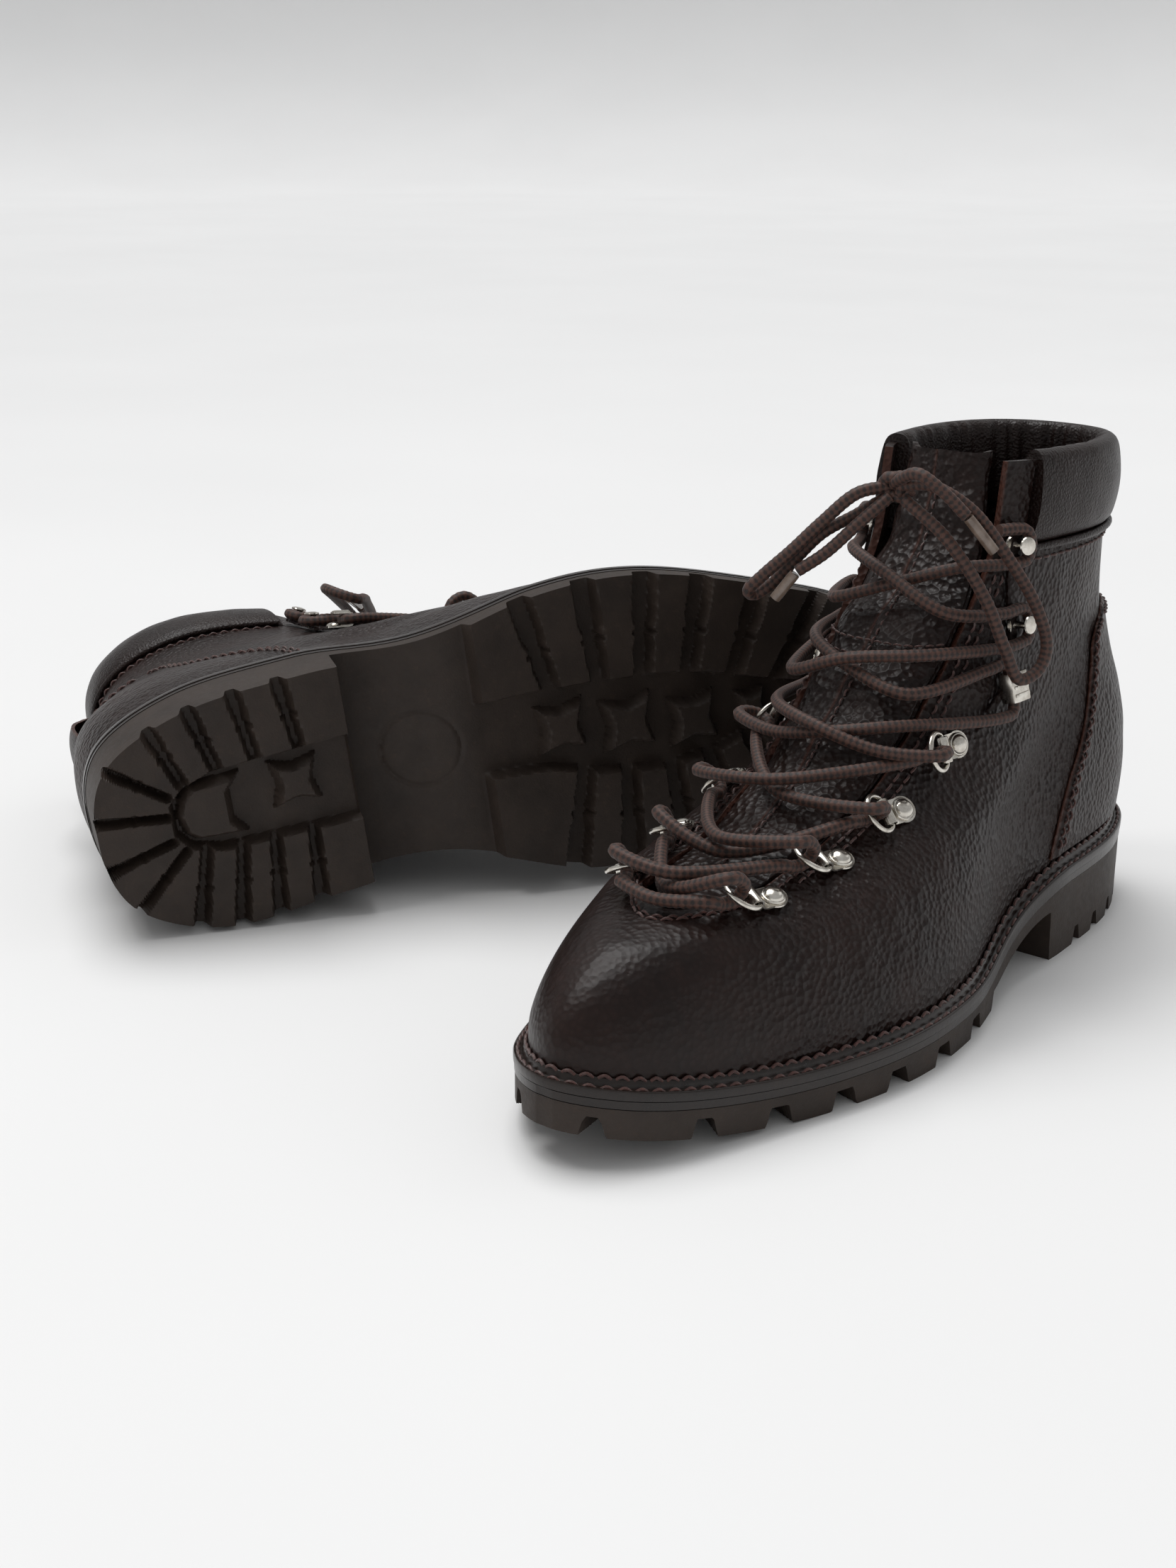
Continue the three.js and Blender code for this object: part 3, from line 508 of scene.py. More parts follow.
def leather(name, dark, light, grain_scale, grain_depth, rough=(0.34, 0.5)):
    look = shader(name, 0.4, Coat_Weight=0.03, Coat_Roughness=0.3, Specular_IOR_Level=0.23)
    tree = look[1]
    grain = cells(tree, grain_scale)
    mottle = noise(tree, 45, 6, 0.62)
    colour = ramp(tree, mottle, (0.3, dark), (0.72, light))
    pores = ramp(tree, grain, (0.0, (1.0, 1.0, 1.0)), (0.65, (0.62, 0.58, 0.56)))
    colour = blend_colour(tree, 0.75, colour, pores, "MULTIPLY")
    colour = blend_colour(tree, attribute(tree, "edge"), colour, RAW_EDGE)
    strength = span(tree, attribute(tree, "polish"), 0.9, 0.25)
    coarse = (noise(tree, 210, 4, 0.55), 0.2, 0.0005)
    return dressed(look, colour, span(tree, mottle, *rough), coarse, (grain, strength, grain_depth))


def cloth_lining():
    look = shader("soft_lining", 0.75, Sheen_Weight=0.25, Sheen_Roughness=0.5)
    tree = look[1]
    colour = ramp(tree, noise(tree, 120, 5), (0.3, (0.012, 0.008, 0.0065)), (0.7, (0.026, 0.018, 0.015)))
    return dressed(look, colour, None, (noise(tree, 900, 3), 0.5, 0.0003))


def rubber():
    look = shader("moulded_rubber", 0.55, Specular_IOR_Level=0.3)
    tree = look[1]
    mottle = noise(tree, 60, 6, 0.6)
    scuff = noise(tree, 380, 4, 0.7)
    colour = ramp(tree, mottle, (0.3, (0.021, 0.0145, 0.0112)), (0.75, (0.038, 0.0265, 0.0205)))
    dust = ramp(tree, scuff, (0.55, (1, 1, 1)), (0.8, (1.7, 1.62, 1.55)))
    colour = blend_colour(tree, 0.7, colour, dust, "MULTIPLY")
    fine = (noise(tree, 1400, 3), 0.35, 0.00025)
    return dressed(look, colour, span(tree, scuff, 0.42, 0.72), fine, (mottle, 0.25, 0.0008))


def sole_edge():
    look = shader("burnished_edge", 0.3, Coat_Weight=0.12, Coat_Roughness=0.2, Specular_IOR_Level=0.35)
    tree = look[1]
    mottle = noise(tree, 90, 5, 0.6)
    colour = ramp(tree, mottle, (0.3, (0.008, 0.005, 0.004)), (0.75, (0.018, 0.011, 0.0085)))
    return dressed(look, colour, span(tree, mottle, 0.2, 0.4), (noise(tree, 700, 4), 0.3, 0.0003))


def woven_lace():
    look = shader("woven_lace", 0.62, Sheen_Weight=0.08, Sheen_Roughness=0.4)
    tree = look[1]
    # Painted shade: dark in the braid's hollows, lighter on its crests, following the tube's relief.
    relief_shade = attribute(tree, "relief_shade")
    colour = ramp(tree, relief_shade, (0.28, (0.01, 0.0042, 0.003)), (0.62, (0.066, 0.027, 0.0175)))
    variation = ramp(tree, noise(tree, 500, 3), (0.3, (0.75, 0.72, 0.7)), (0.7, (1.15, 1.1, 1.05)))
    colour = blend_colour(tree, 0.8, colour, variation, "MULTIPLY")
    rough = span(tree, noise(tree, 1200, 2), 0.5, 0.75)
    return dressed(look, colour, rough, (noise(tree, 2600, 2), 0.5, 0.0002))


def thread(name, dark, light):
    look = shader(name, 0.5, Sheen_Weight=0.2)
    twist = noise(look[1], 1500, 2)
    return dressed(look, ramp(look[1], twist, (0.3, dark), (0.7, light)), None, (twist, 0.5, 0.0002))


def nickel():
    look = shader("polished_nickel", 0.2, 1.0)
    tree = look[1]
    tarnish = noise(tree, 260, 5, 0.65)
    tones = (0.3, (0.42, 0.38, 0.33)), (0.6, (0.72, 0.69, 0.63)), (0.9, (0.8, 0.78, 0.72))
    rough = span(tree, tarnish, 0.3, 0.14)
    return dressed(look, ramp(tree, tarnish, *tones), rough, (noise(tree, 900, 3), 0.06, 0.0001))


def aglet_plastic():
    look = shader("aglet_plastic", 0.22, Coat_Weight=0.6, Coat_Roughness=0.1)
    tree = look[1]
    colour = ramp(tree, noise(tree, 300, 3), (0.35, (0.11, 0.075, 0.055)), (0.7, (0.2, 0.15, 0.12)))
    return dressed(look, colour, None, (noise(tree, 600, 2), 0.1, 0.0002))


def plain_floor():
    look = shader("studio_floor", 0.9, Specular_IOR_Level=0.1)
    tones = (0.3, (0.80, 0.80, 0.80)), (0.7, (0.82, 0.82, 0.82))
    return dressed(look, ramp(look[1], noise(look[1], 3, 2), *tones), None)


DARK_LEATHER = (0.0085, 0.0039, 0.0031)
MATERIALS = {
    "upper": leather("pebbled_leather", (0.0085, 0.0036, 0.0028), (0.02, 0.0086, 0.0064), 520, 0.0009),
    "coarse": leather("coarse_leather", DARK_LEATHER, (0.021, 0.0096, 0.0074), 430, 0.0013, (0.36, 0.5)),
    "soft": leather("smooth_leather", DARK_LEATHER, (0.018, 0.0086, 0.0068), 1100, 0.0003, (0.34, 0.46)),
    "lining": cloth_lining(),
    "rubber": rubber(),
    "edge": sole_edge(),
    "lace": woven_lace(),
    "red_thread": thread("red_brown_thread", (0.03, 0.0095, 0.007), (0.075, 0.022, 0.015)),
    "nickel": nickel(),
    "aglet": aglet_plastic(),
}


# ---------------------------------------------------------------- placing pieces


def lying_matrix():
    turn = Matrix.Identity(4)
    for angle, axis in zip(LYING_EULER, "XYZ"):
        turn = turn @ Matrix.Rotation(math.radians(angle), 4, axis)
    place = np.array(turn @ Matrix.Diagonal((-1, 1, 1, 1)))
    place[:3, 3] = LYING_POSITION
    return place


PLACES = {"left": np.eye(4), "right": lying_matrix()}
BODIES = {"left": "root", "right": "right_boot"}


def add_piece(boot, name, part, look, stands_for=(), body=None, sharp=50):
    """Mesh object for one boot from local points in millimetres, riding on its body."""
    points, faces, values = part
    place = PLACES[boot]
    points = (points @ place[:3, :3].T + place[:3, 3]) * MM
    if isinstance(faces, np.ndarray):
        faces = faces.tolist()
    mesh = bpy.data.meshes.new(f"{boot}_{name}_skin")
    mesh.from_pydata(points.tolist(), [], faces)
    mesh.polygons.foreach_set("use_smooth", [True] * len(mesh.polygons))
    for key, value in values.items():
        layer = mesh.attributes.new(key, "FLOAT", "POINT")
        layer.data.foreach_set("value", np.asarray(value, np.float32))
    mesh.materials.append(MATERIALS[look])
    piece = bpy.data.objects.new(f"{boot}_{name}_skin", mesh)
    bpy.context.scene.collection.objects.link(piece)
    bpy.context.view_layer.objects.active = piece
    piece.select_set(True)
    bpy.ops.object.mode_set(mode="EDIT")
    bpy.ops.mesh.select_all(action="SELECT")
    bpy.ops.mesh.normals_make_consistent(inside=False)
    bpy.ops.object.mode_set(mode="OBJECT")
    piece.select_set(False)
    mesh.set_sharp_from_angle(angle=math.radians(sharp))
    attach(piece, body or BODIES[boot])
    if stands_for:
        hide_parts(*(f"{boot}_{node_name}" for node_name in stands_for))
    return piece


# ---------------------------------------------------------------- leather pieces


def rumple(points, depth, size, seed):
    """Small even wrinkles, as a sum of seeded waves over the surface."""
    source = np.random.default_rng(seed)
    total = np.zeros(points.shape[:-1])
    for _ in range(9):
        direction = source.normal(size=3)
        direction *= 2 * math.pi / (size * source.uniform(0.7, 1.6) * np.linalg.norm(direction))
        total += np.sin(points @ direction + source.uniform(0, 2 * math.pi))
    return depth * total / 9


# Lift of the upper over its toe cap. It is cut off at OFFSET_LIMIT, which leaves the toe without wrinkles.
TOE_LIFT = 3.8
OFFSET_LIMIT = 0.3


def upper_part():
    """Vamp and quarters with the throat left open, cut away under the collar."""
    rows = np.concatenate([
        np.linspace(0, THROAT_START, 70),
        np.linspace(THROAT_START, COLLAR_START, 90)[1:],
        np.linspace(COLLAR_START, 1, 18)[1:],
    ])
    columns = np.arange(COLUMNS * 14) / 14
    t, c = np.meshgrid(rows, columns, indexing="ij")
    base = surface(t, c, 0)
    # Walking creases across the vamp and soft folds at the ankle.
    s = HEEL_BACK_Y - base[..., 1]
    vamp = np.exp(-(((s - 208) / 26) ** 2)) * smooth((base[..., 2] - 30) / 20)
    ankle = np.exp(-(((t - 0.66) / 0.12) ** 2)) * smooth((s - 60) / 50)
    offset = -0.55 * vamp * (1 + np.sin(s * 0.42 + 1.5 * np.sin(base[..., 0] * 0.11))) / 2
    offset += -0.5 * ankle * (1 + np.sin(base[..., 2] * 0.33 + base[..., 1] * 0.12)) / 2
    offset += TOE_LIFT * smooth((s - 215) / 45) * smooth(t / 0.09) * (1 - smooth((t - 0.19) / 0.13))
    offset += rumple(base, 0.28, 17, 3)
    outer = surface(t, c, np.minimum(offset, OFFSET_LIMIT))
    inner = surface(t, c, -LEATHER)
    outer[0, :, 2] += 2 * GAP
    inner[0, :, 2] += 2 * GAP
    middle_t = (rows[:-1] + rows[1:])[:, None] / 2
    from_front = np.abs(columns + 0.5 / 14 - FRONT)[None, :]
    open_throat = (middle_t > THROAT_START) & (from_front < THROAT_COLUMNS)
    above_collar = (middle_t > COLLAR_START) & (from_front >= THROAT_COLUMNS + 1)
    present = ~(open_throat | above_collar)
    near = np.minimum(np.abs(np.abs(c - FRONT) - THROAT_COLUMNS), 9)
    edge = ((near < 0.05) & (t > THROAT_START - 0.01)).astype(float)
    polish = smooth((s - 228) / 40)
    return skin(outer, inner, True, present, edge=edge, polish=polish)


FLAP_INSET = 0.13
FLAP_START = FRONT - THROAT_COLUMNS + FLAP_INSET
FLAP_WIDTH = 2 * (THROAT_COLUMNS - FLAP_INSET)
FLAP_OVERLAP = 0.56


def flap_depth(t):
    """How far the flaps lie under the upper's surface: deeper towards the ankle."""
    return 0.8 + 7 * smooth((t - 0.8) / 0.2)


def tongue_part():
    """Two coarse flaps that overlap along a seam left of the middle, with folds behind the lace."""
    rows = np.linspace(0.405, 1, 120)
    share = np.linspace(0, 1, 90)
    t, u = np.meshgrid(rows, share, indexing="ij")
    c = FLAP_START + u * FLAP_WIDTH
    sink = flap_depth(t)
    base = surface(t, c, -sink)
    overlap = smooth((FLAP_OVERLAP - u) / 0.035) * smooth((u - 0.02) / 0.03)
    fold = 0.45 * np.sin(base[..., 2] * 0.42 + 3 * u) * smooth((t - 0.45) / 0.1)
    lift = 1.3 * overlap + fold + rumple(base, 0.22, 14, 8)
    outer = surface(t, c, -sink + np.clip(lift, -0.6, 1.9) - 0.6)
    inner = surface(t, c, -sink - 2.6)
    outer[-1, :, 2] += 3
    inner[-1, :, 2] += 3
    edge = 0.8 * np.exp(-(((u - FLAP_OVERLAP) / 0.012) ** 2))
    return skin(outer, inner, edge=edge)


# Front edge of the heel counter on the lateral side, as (level, s) from the welt to the ankle.
COUNTER_SEAM = [(0.05, 89), (0.27, 86), (0.45, 78), (0.585, 70), (0.665, 56), (0.725, 34), (0.75, 20)]


COUNTER_LIMIT = 2.98
COUNTER_TOP = 0.735


def counter_reach(t):
    """Column of the counter's front edge at level t, at most COUNTER_LIMIT."""
    levels, along = zip(*COUNTER_SEAM)
    return min(column_at_s(t, float(np.interp(t, levels, along))), COUNTER_LIMIT)


def counter_part():
    rows = np.linspace(0.05, COUNTER_TOP, 80)
    reach = np.array([counter_reach(t) for t in rows])
    reach = np.convolve(np.pad(reach, 3, mode="edge"), np.ones(7) / 7, "valid")
    t, u = np.meshgrid(rows, np.linspace(-1, 1, 130), indexing="ij")
    c = u * reach[:, None]
    base = surface(t, c, 0)
    round_edge = np.minimum(smooth((1 - np.abs(u)) / 0.03), smooth((COUNTER_TOP - t) / 0.012))
    outer = surface(t, c, GAP + 0.45 + 1.0 * round_edge + rumple(base, 0.15, 15, 5))
    edge = ((1 - np.abs(u) < 0.012) | (t > 0.73)).astype(float)
    return skin(outer, surface(t, c, GAP), edge=edge)


def collar_bead_part():
    """Piped bead that closes the collar's lower edge."""
    c = np.linspace(-7.7, 7.7, 400)
    return sweep(surface(COLLAR_START - 0.002, c, 1.3), 1.25, 14)


def heel_loop_part():
    stops = np.array([[0.64, 1.2], [0.7, 4.5], [0.76, 6.5], [0.82, 6.5], [0.88, 4], [0.9, 1]])
    place = np.linspace(0, 1, 50)
    level = np.interp(place, np.linspace(0, 1, 6), stops[:, 0])
    bow = np.interp(place, np.linspace(0, 1, 6), stops[:, 1])
    bow = np.convolve(np.pad(bow, 4, mode="edge"), np.ones(9) / 9, "valid")
    t, u = np.meshgrid(level, np.linspace(-0.5, 0.5, 24), indexing="ij")
    crown = 0.35 * (1 - (2 * u) ** 4)
    edge = (np.abs(u) > 0.47).astype(float)
    outer = surface(t, u, bow[:, None] + GAP + 1.3 + crown)
    return skin(outer, surface(t, u, bow[:, None] + GAP), edge=edge)


COLLAR_SECTION = np.array([
    (COLLAR_START, 0.4), (0.925, 3), (0.965, 3.4), (0.993, 1.5), (1, -2.5), (0.99, -6), (0.95, -7.6),
    (COLLAR_START, -6.5),
])


def closed_curve(points, count):
    place = np.arange(count) * len(points) / count
    index = place.astype(int)
    share = (place - index)[:, None]
    return cubic(*(points[(index + k) % len(points)] for k in (-1, 0, 1, 2)), share)


def collar_part():
    """Padded roll round the ankle, gathered on its inner side."""
    section = closed_curve(COLLAR_SECTION, 40)
    reach = SIDE_COLUMNS - 1.12
    place = np.linspace(-reach, reach, 260)
    c = np.repeat(place[:, None], len(section), 1)
    t = np.repeat(section[None, :, 0], len(place), 0)
    inside = smooth((-section[:, 1] - 1) / 4)[None, :]
    gather = np.sin(place[:, None] * 9 + 1.3 * np.sin(place[:, None] * 3.1)) * inside * 0.6
    offset = section[None, :, 1] + gather
    points = surface(np.clip(t, 0, 1), c, offset)
    points[..., 2] += 0.8 + 2 * smooth((t - 0.97) / 0.03)
    points += rumple(points, 0.3, 12, 11)[..., None] * unit(lookup(NORMALS, np.clip(t, 0, 1), c))
    rows, size = points.shape[:2]
    return points.reshape(-1, 3), loop_faces(rows, size), {"edge": np.zeros(rows * size)}


# ---------------------------------------------------------------- sole pieces


SOLE_OUTLINE_POINTS = 1440
TIP_MARGIN = 0.3


def sole_grid(inset, s, across):
    """Grid (x, s) over the sole's outline drawn in by inset: a row at each s, across points wide."""
    edge = outline(SOLE_OUTLINE_POINTS, inset)
    half = len(edge) // 2
    high = np.interp(s, edge[: half + 1, 1], edge[: half + 1, 0])
    low = np.interp(s, edge[half:, 1][::-1], edge[half:, 0][::-1])
    x = mix(low[:, None], high[:, None], np.linspace(0, 1, across)[None, :])
    return x, np.repeat(s[:, None], across, 1)


def sole_sheet(inset, bottom, top):
    """Solid between two heights over the sole's outline, drawn in by inset."""
    tip = inset + TIP_MARGIN
    s = mix(tip, SOLE_LENGTH - tip, (1 - np.cos(np.linspace(0, math.pi, 200))) / 2)
    x, wide = sole_grid(inset, s, 12)
    return skin(at(x, wide, top(wide)), at(x, wide, bottom(wide)))


# Grooves from their outer to their inner end, as (x, s), with a width.
HEEL_GROOVES = [
    ((48, 69), (19, 73), 4), ((48, 53), (18, 57.5), 4), ((44, 37), (17, 44), 4), ((40, 22), (15, 31.5), 4),
    ((28, 3), (11, 26), 2.4), ((8, -4), (4, 25), 2.4), ((-12, -3), (-5, 25), 2.4),
    ((-30, 6), (-9, 29), 2.4), ((-44, 27), (-11, 35.5), 4), ((-44, 42), (-12, 48), 4),
    ((-44, 56), (-12, 59.5), 4), ((-44, 71), (-12, 73), 4),
]
FOREFOOT_GROOVES = [
    ((58, 156), (16, 165), 7), ((60, 181), (16, 183), 7), ((60, 205.5), (14, 199), 7), ((56, 228), (11, 216), 7),
    ((46, 251), (7, 233), 7), ((36, 276), (3, 250), 6), ((16, 308), (-1, 262), 5), ((-15, 308), (-5, 262), 5),
    ((-36, 280), (-10, 252), 6), ((-50, 256), (-17, 238), 7), ((-58, 232), (-20, 222), 7),
    ((-60, 209), (-20, 207), 7), ((-60, 186), (-18, 190), 7), ((-58, 163), (-13, 174), 7),
]
HEEL_POCKET = [(-3, 26), (8, 26), (13, 31), (17, 42), (19, 91.5), (-12, 91.5), (-12, 42), (-9, 31)]
FOREFOOT_POCKET = [
    (19, 130), (19, 160), (18, 180), (16, 205), (12, 225), (7, 240), (3, 252), (0, 262),
    (-6, 262), (-10, 252), (-15, 240), (-19, 225), (-21, 205), (-17, 180), (-11, 160), (-9, 130),
]
STARS = [(3, 167, 12), (-1, 192, 13), (-5, 217, 12), (-5, 240, 8), (6, 70, 11)]
HEEL_U = [(13, 34), (14, 52), (8, 47), (-2, 47), (-8, 52), (-7, 34), (-4, 30), (3, 28), (9, 30)]
HEEL_LENGTH, TREAD_START, LUG_DEPTH = 91.0, 138.0, 6.0
WALL_SLOPE = 1.5
STAR_WAIST, STAR_POINT = 0.56, 1.08
MEDALLION = (4.5, 117.0, 13.6)


def depth_inside(x, s, corners):
    """Distance inside a polygon, negative outside."""
    closed = np.array(corners, float)
    nearest = np.full(x.shape, 1e9)
    inside = np.zeros(x.shape, bool)
    for (ax, ay), (bx, by) in zip(closed, np.roll(closed, -1, 0)):
        square = (bx - ax) ** 2 + (by - ay) ** 2
        along = np.clip(((x - ax) * (bx - ax) + (s - ay) * (by - ay)) / square, 0, 1)
        nearest = np.minimum(nearest, np.hypot(x - ax - along * (bx - ax), s - ay - along * (by - ay)))
        crossing = ((ay > s) != (by > s)) & (x < (bx - ax) * (s - ay) / (by - ay + 1e-12) + ax)
        inside ^= crossing
    return np.where(inside, nearest, -nearest)


def groove_cut(x, s, outer, inner, width):
    """Share of the lug depth that a groove takes away: sloping walls, and a pinch half-way along."""
    (ax, ay), (bx, by) = outer, inner
    span_x, span_y = bx - ax, by - ay
    reach = math.hypot(span_x, span_y)
    along = ((x - ax) * span_x + (s - ay) * span_y) / reach**2
    across = np.abs((x - ax) * span_y - (s - ay) * span_x) / reach
    beyond = np.maximum(np.maximum(-along, along - 1), 0) * reach
    pinch = np.exp(-(((along - 0.62) * reach / 3.2) ** 2))
    notch = np.exp(-(((along - 0.62) * reach / 1.1) ** 2))
    half = width / 2 * (1.12 - 0.5 * pinch + 0.55 * notch) - 0.12 * width * smooth((along - 0.62) * 4)
    return np.clip((half + WALL_SLOPE / 2 - np.hypot(across, beyond)) / WALL_SLOPE, 0, 1)


def star_corners(x, s, radius):
    corners = []
    for k in range(8):
        reach = radius * (STAR_WAIST if k % 2 else STAR_POINT)
        angle = math.pi * (k + 1) / 4
        corners.append((x + reach * math.cos(angle), s + reach * math.sin(angle)))
    return corners


def tread(x, s):
    """Height of the sole's underside: ground, less lugs, pockets, arch and the blank medallion."""
    cut = np.zeros(x.shape)
    for outer, inner, width in HEEL_GROOVES + FOREFOOT_GROOVES:
        cut = np.maximum(cut, groove_cut(x, s, outer, inner, width))
    for pocket in (HEEL_POCKET, FOREFOOT_POCKET):
        cut = np.maximum(cut, np.clip(depth_inside(x, s, pocket) / WALL_SLOPE, 0, 1))
    for corners in [star_corners(*star) for star in STARS] + [HEEL_U]:
        inside = depth_inside(x, s, corners)
        lug = np.where(inside > 0, 0.3 + 0.7 * np.clip(inside / 1.9, 0, 1), 0)
        cut = np.minimum(cut, 1 - lug)
    root = mix(17.6, LUG_DEPTH, smooth((s - HEEL_LENGTH) / 47))
    lugs = LUG_DEPTH * cut
    arch = smooth((s - HEEL_LENGTH + 0.6) / 1.2) * (1 - smooth((s - TREAD_START + 1.2) / 2.4))
    ring_line = np.hypot(x - MEDALLION[0], s - MEDALLION[1]) - MEDALLION[2]
    return spring(s) + mix(lugs, root + 0.55 * np.exp(-((ring_line / 0.7) ** 2)), arch)


def outsole_part():
    """Rubber sole, with closer rows at the heel's breast and towards both tips."""
    tip = 0.8
    breast = np.linspace(HEEL_LENGTH - 1, HEEL_LENGTH + 1, 9)
    toe_and_heel = SOLE_LENGTH / 2 - (SOLE_LENGTH / 2 - tip) * np.cos(np.linspace(0, math.pi, 60))
    even = np.linspace(tip, SOLE_LENGTH - tip, 430)
    s = np.unique(np.concatenate([even, breast, toe_and_heel]).round(2))
    x, wide = sole_grid(0.5, s, 150)
    return skin(at(x, wide, outsole_top(wide)), at(x, wide, tread(x, wide)))


def outsole_top(s):
    return welt_top(s) - OUTSOLE_DEPTH


# Storm welt section from its outer foot round to its inner foot, as (inset, height over the welt's top).
WELT_SECTION = [
    (0.05, -3), (0, -2.2), (0, -0.5), (0.25, -0.1), (0.7, 0), (1.1, -0.35), (1.5, -0.35), (1.9, 0), (2.5, 0.1),
    (2.9, 0.9), (3.2, 2.0), (3.6, 2.35), (3.95, 2.0), (4, 0), (4, -3),
]


def welt_part():
    count = 720
    loops = []
    for inset, lift in WELT_SECTION:
        edge = outline(count, inset)
        loops.append(at(edge[:, 0], edge[:, 1], welt_top(edge[:, 1]) + lift))
    return np.stack(loops, 1).reshape(-1, 3), loop_faces(count, len(WELT_SECTION), closed=True), {}


# ---------------------------------------------------------------- stitches


def stitch_row(path, normals, pitch=4.4, length=3.1, radius=0.42):
    """Separate short stitches laid along a path, each a rounded thread that dips at its ends."""
    distance = np.concatenate([[0], np.cumsum(np.linalg.norm(np.diff(path, axis=0), axis=1))])
    parts = []
    for start in np.arange(pitch / 2, distance[-1] - pitch / 2, pitch):
        share = np.linspace(0, 1, 6)
        where = start + (share - 0.5) * length
        points = np.stack([np.interp(where, distance, path[:, k]) for k in range(3)], -1)
        normal = unit(np.stack([np.interp(where, distance, normals[:, k]) for k in range(3)], -1))
        points = points + normal * (radius * (2 * np.sin(math.pi * share) - 0.7))[:, None]
        parts.append(sweep(points, radius, 7))
    return merge(parts)


def surface_line(levels, columns, offset, count=120):
    """Path and normals on the upper through (level, column) stops."""
    place = np.linspace(0, 1, count)
    stops = np.linspace(0, 1, len(levels))
    t, c = np.interp(place, stops, levels), np.interp(place, stops, columns)
    return surface(t, c, offset), unit(lookup(NORMALS, t, c))


def upper_stitches():
    rows = []
    for gap in (0.32, 0.6):
        reach = THROAT_COLUMNS + gap
        levels = list(np.linspace(0.40, 0.89, 12))
        sides = [FRONT - reach] * 12
        rows.append(surface_line(levels, sides, 0.05))
        rows.append(surface_line(levels, [2 * FRONT - c for c in sides], 0.05))
        turn = np.linspace(-reach, reach, 15)
        dip = 0.385 - 0.022 * gap - 0.012 * (1 - (turn / reach) ** 2)
        rows.append(surface_line(list(dip), list(FRONT + turn), 0.05))
    for inset in (0.05, 0.1):
        levels = np.linspace(0.07, 0.715, 30)
        reach = np.array([counter_reach(t) for t in levels]) - inset * 1.7
        for side in (1, -1):
            rows.append(surface_line(list(levels), list(side * reach), GAP + 1.5))
        top = reach[-1]
        rows.append(surface_line([0.727 - inset * 0.12] * 9, list(np.linspace(-top, top, 9)), GAP + 1.5))
    rows.append(surface_line([COLLAR_START - 0.018] * 40, list(np.linspace(-7.6, 7.6, 40)), 0.05))
    return merge([stitch_row(path, normals) for path, normals in rows])


def flap_stitches():
    """Double rows across the flaps at the ankle strap, and one beside the overlap."""
    rows = []
    for level in (0.775, 0.795):
        across = FLAP_START + FLAP_WIDTH * np.linspace(0.06, 0.94, 12)
        rows.append(surface_line([level] * 12, across, 0.25))
    # The depth is read at 14 levels only, so that the row runs straight between them.
    levels = np.linspace(0.43, 0.97, 14)
    t = np.linspace(0.43, 0.97, 120)
    c = np.full(120, FLAP_START + FLAP_WIDTH * 0.50)
    offset = 0.9 - np.interp(t, levels, flap_depth(levels))
    rows.append((surface(t, c, offset), unit(lookup(NORMALS, t, c))))
    return merge([stitch_row(path, normals, 3.4, 2.4, 0.34) for path, normals in rows])


def welt_stitches():
    parts = []
    for inset, lift in ((1.3, -0.28), (3.58, 2.3)):
        edge = outline(900, inset)
        closed = np.vstack([edge, edge[:1]])
        path = at(closed[:, 0], closed[:, 1], welt_top(closed[:, 1]) + lift)
        up = np.tile([0.0, 0.0, 1.0], (len(path), 1))
        parts.append(stitch_row(path, up, 5.0, 3.6, 0.5))
    return merge(parts)


# ---------------------------------------------------------------- lacing hardware

CLIPS = [(0.365, 19), (0.435, 23), (0.53, 25), (0.625, 26.6)]
LOCK_HOOK = (0.69, 29.5)
SPEED_HOOKS = [(0.8, 27), (0.91, 23)]


def arc(centre, radius, start, end, count):
    angles = np.radians(np.linspace(start, end, count))
    return [(centre[0] + radius * math.cos(a), centre[1] + radius * math.sin(a)) for a in angles]


def clip_part():
    """Plate with a rounded end and a domed rivet, rolled round the ring's bar."""
    roll = [(7.6, 0.75), (4.6, 0.75), (3.2, 0.9), (2.3, 1.6)] + arc((0, BAR_HEIGHT), 1.68, -25, 235, 22)
    strip = extrude_y(ribbon(roll, 0.62), CLIP_WIDTH)
    plate = lathe([(0, 0.3), (4.3, 0.3), (4.45, 0.6), (4.35, 1.05), (0, 1.1)])
    plate[0][:, 0] += 8.0
    dome = [(3.0 * math.cos(a), 1.75 + 1.5 * math.sin(a)) for a in np.linspace(0.15, 1.4, 7)]
    rivet = lathe([(0, 1.0), (3.6, 1.0), (3.7, 1.35), (3.45, 1.7), (3.1, 1.75)] + dome + [(0, 3.25)])
    rivet[0][:, 0] += 8.0
    return merge([strip, plate, rivet])


def ring_part():
    angles = np.arange(96) * 2 * math.pi / 96
    flat = 0.62 * RING_RADIUS
    x = np.minimum(RING_RADIUS * np.cos(angles), flat) - flat
    points = np.stack([x, RING_RADIUS * np.sin(angles), np.zeros_like(x)], 1)
    points, faces, _ = sweep(points, RING_WIRE, 14, closed=True)
    return points, faces, {}


def ring_place(place):
    lift = np.eye(4)
    cos, sin = math.cos(RING_LIFT), math.sin(RING_LIFT)
    lift[:3, :3] = [(cos, 0, sin), (0, 1, 0), (-sin, 0, cos)]
    lift[2, 3] = BAR_HEIGHT
    return place @ lift


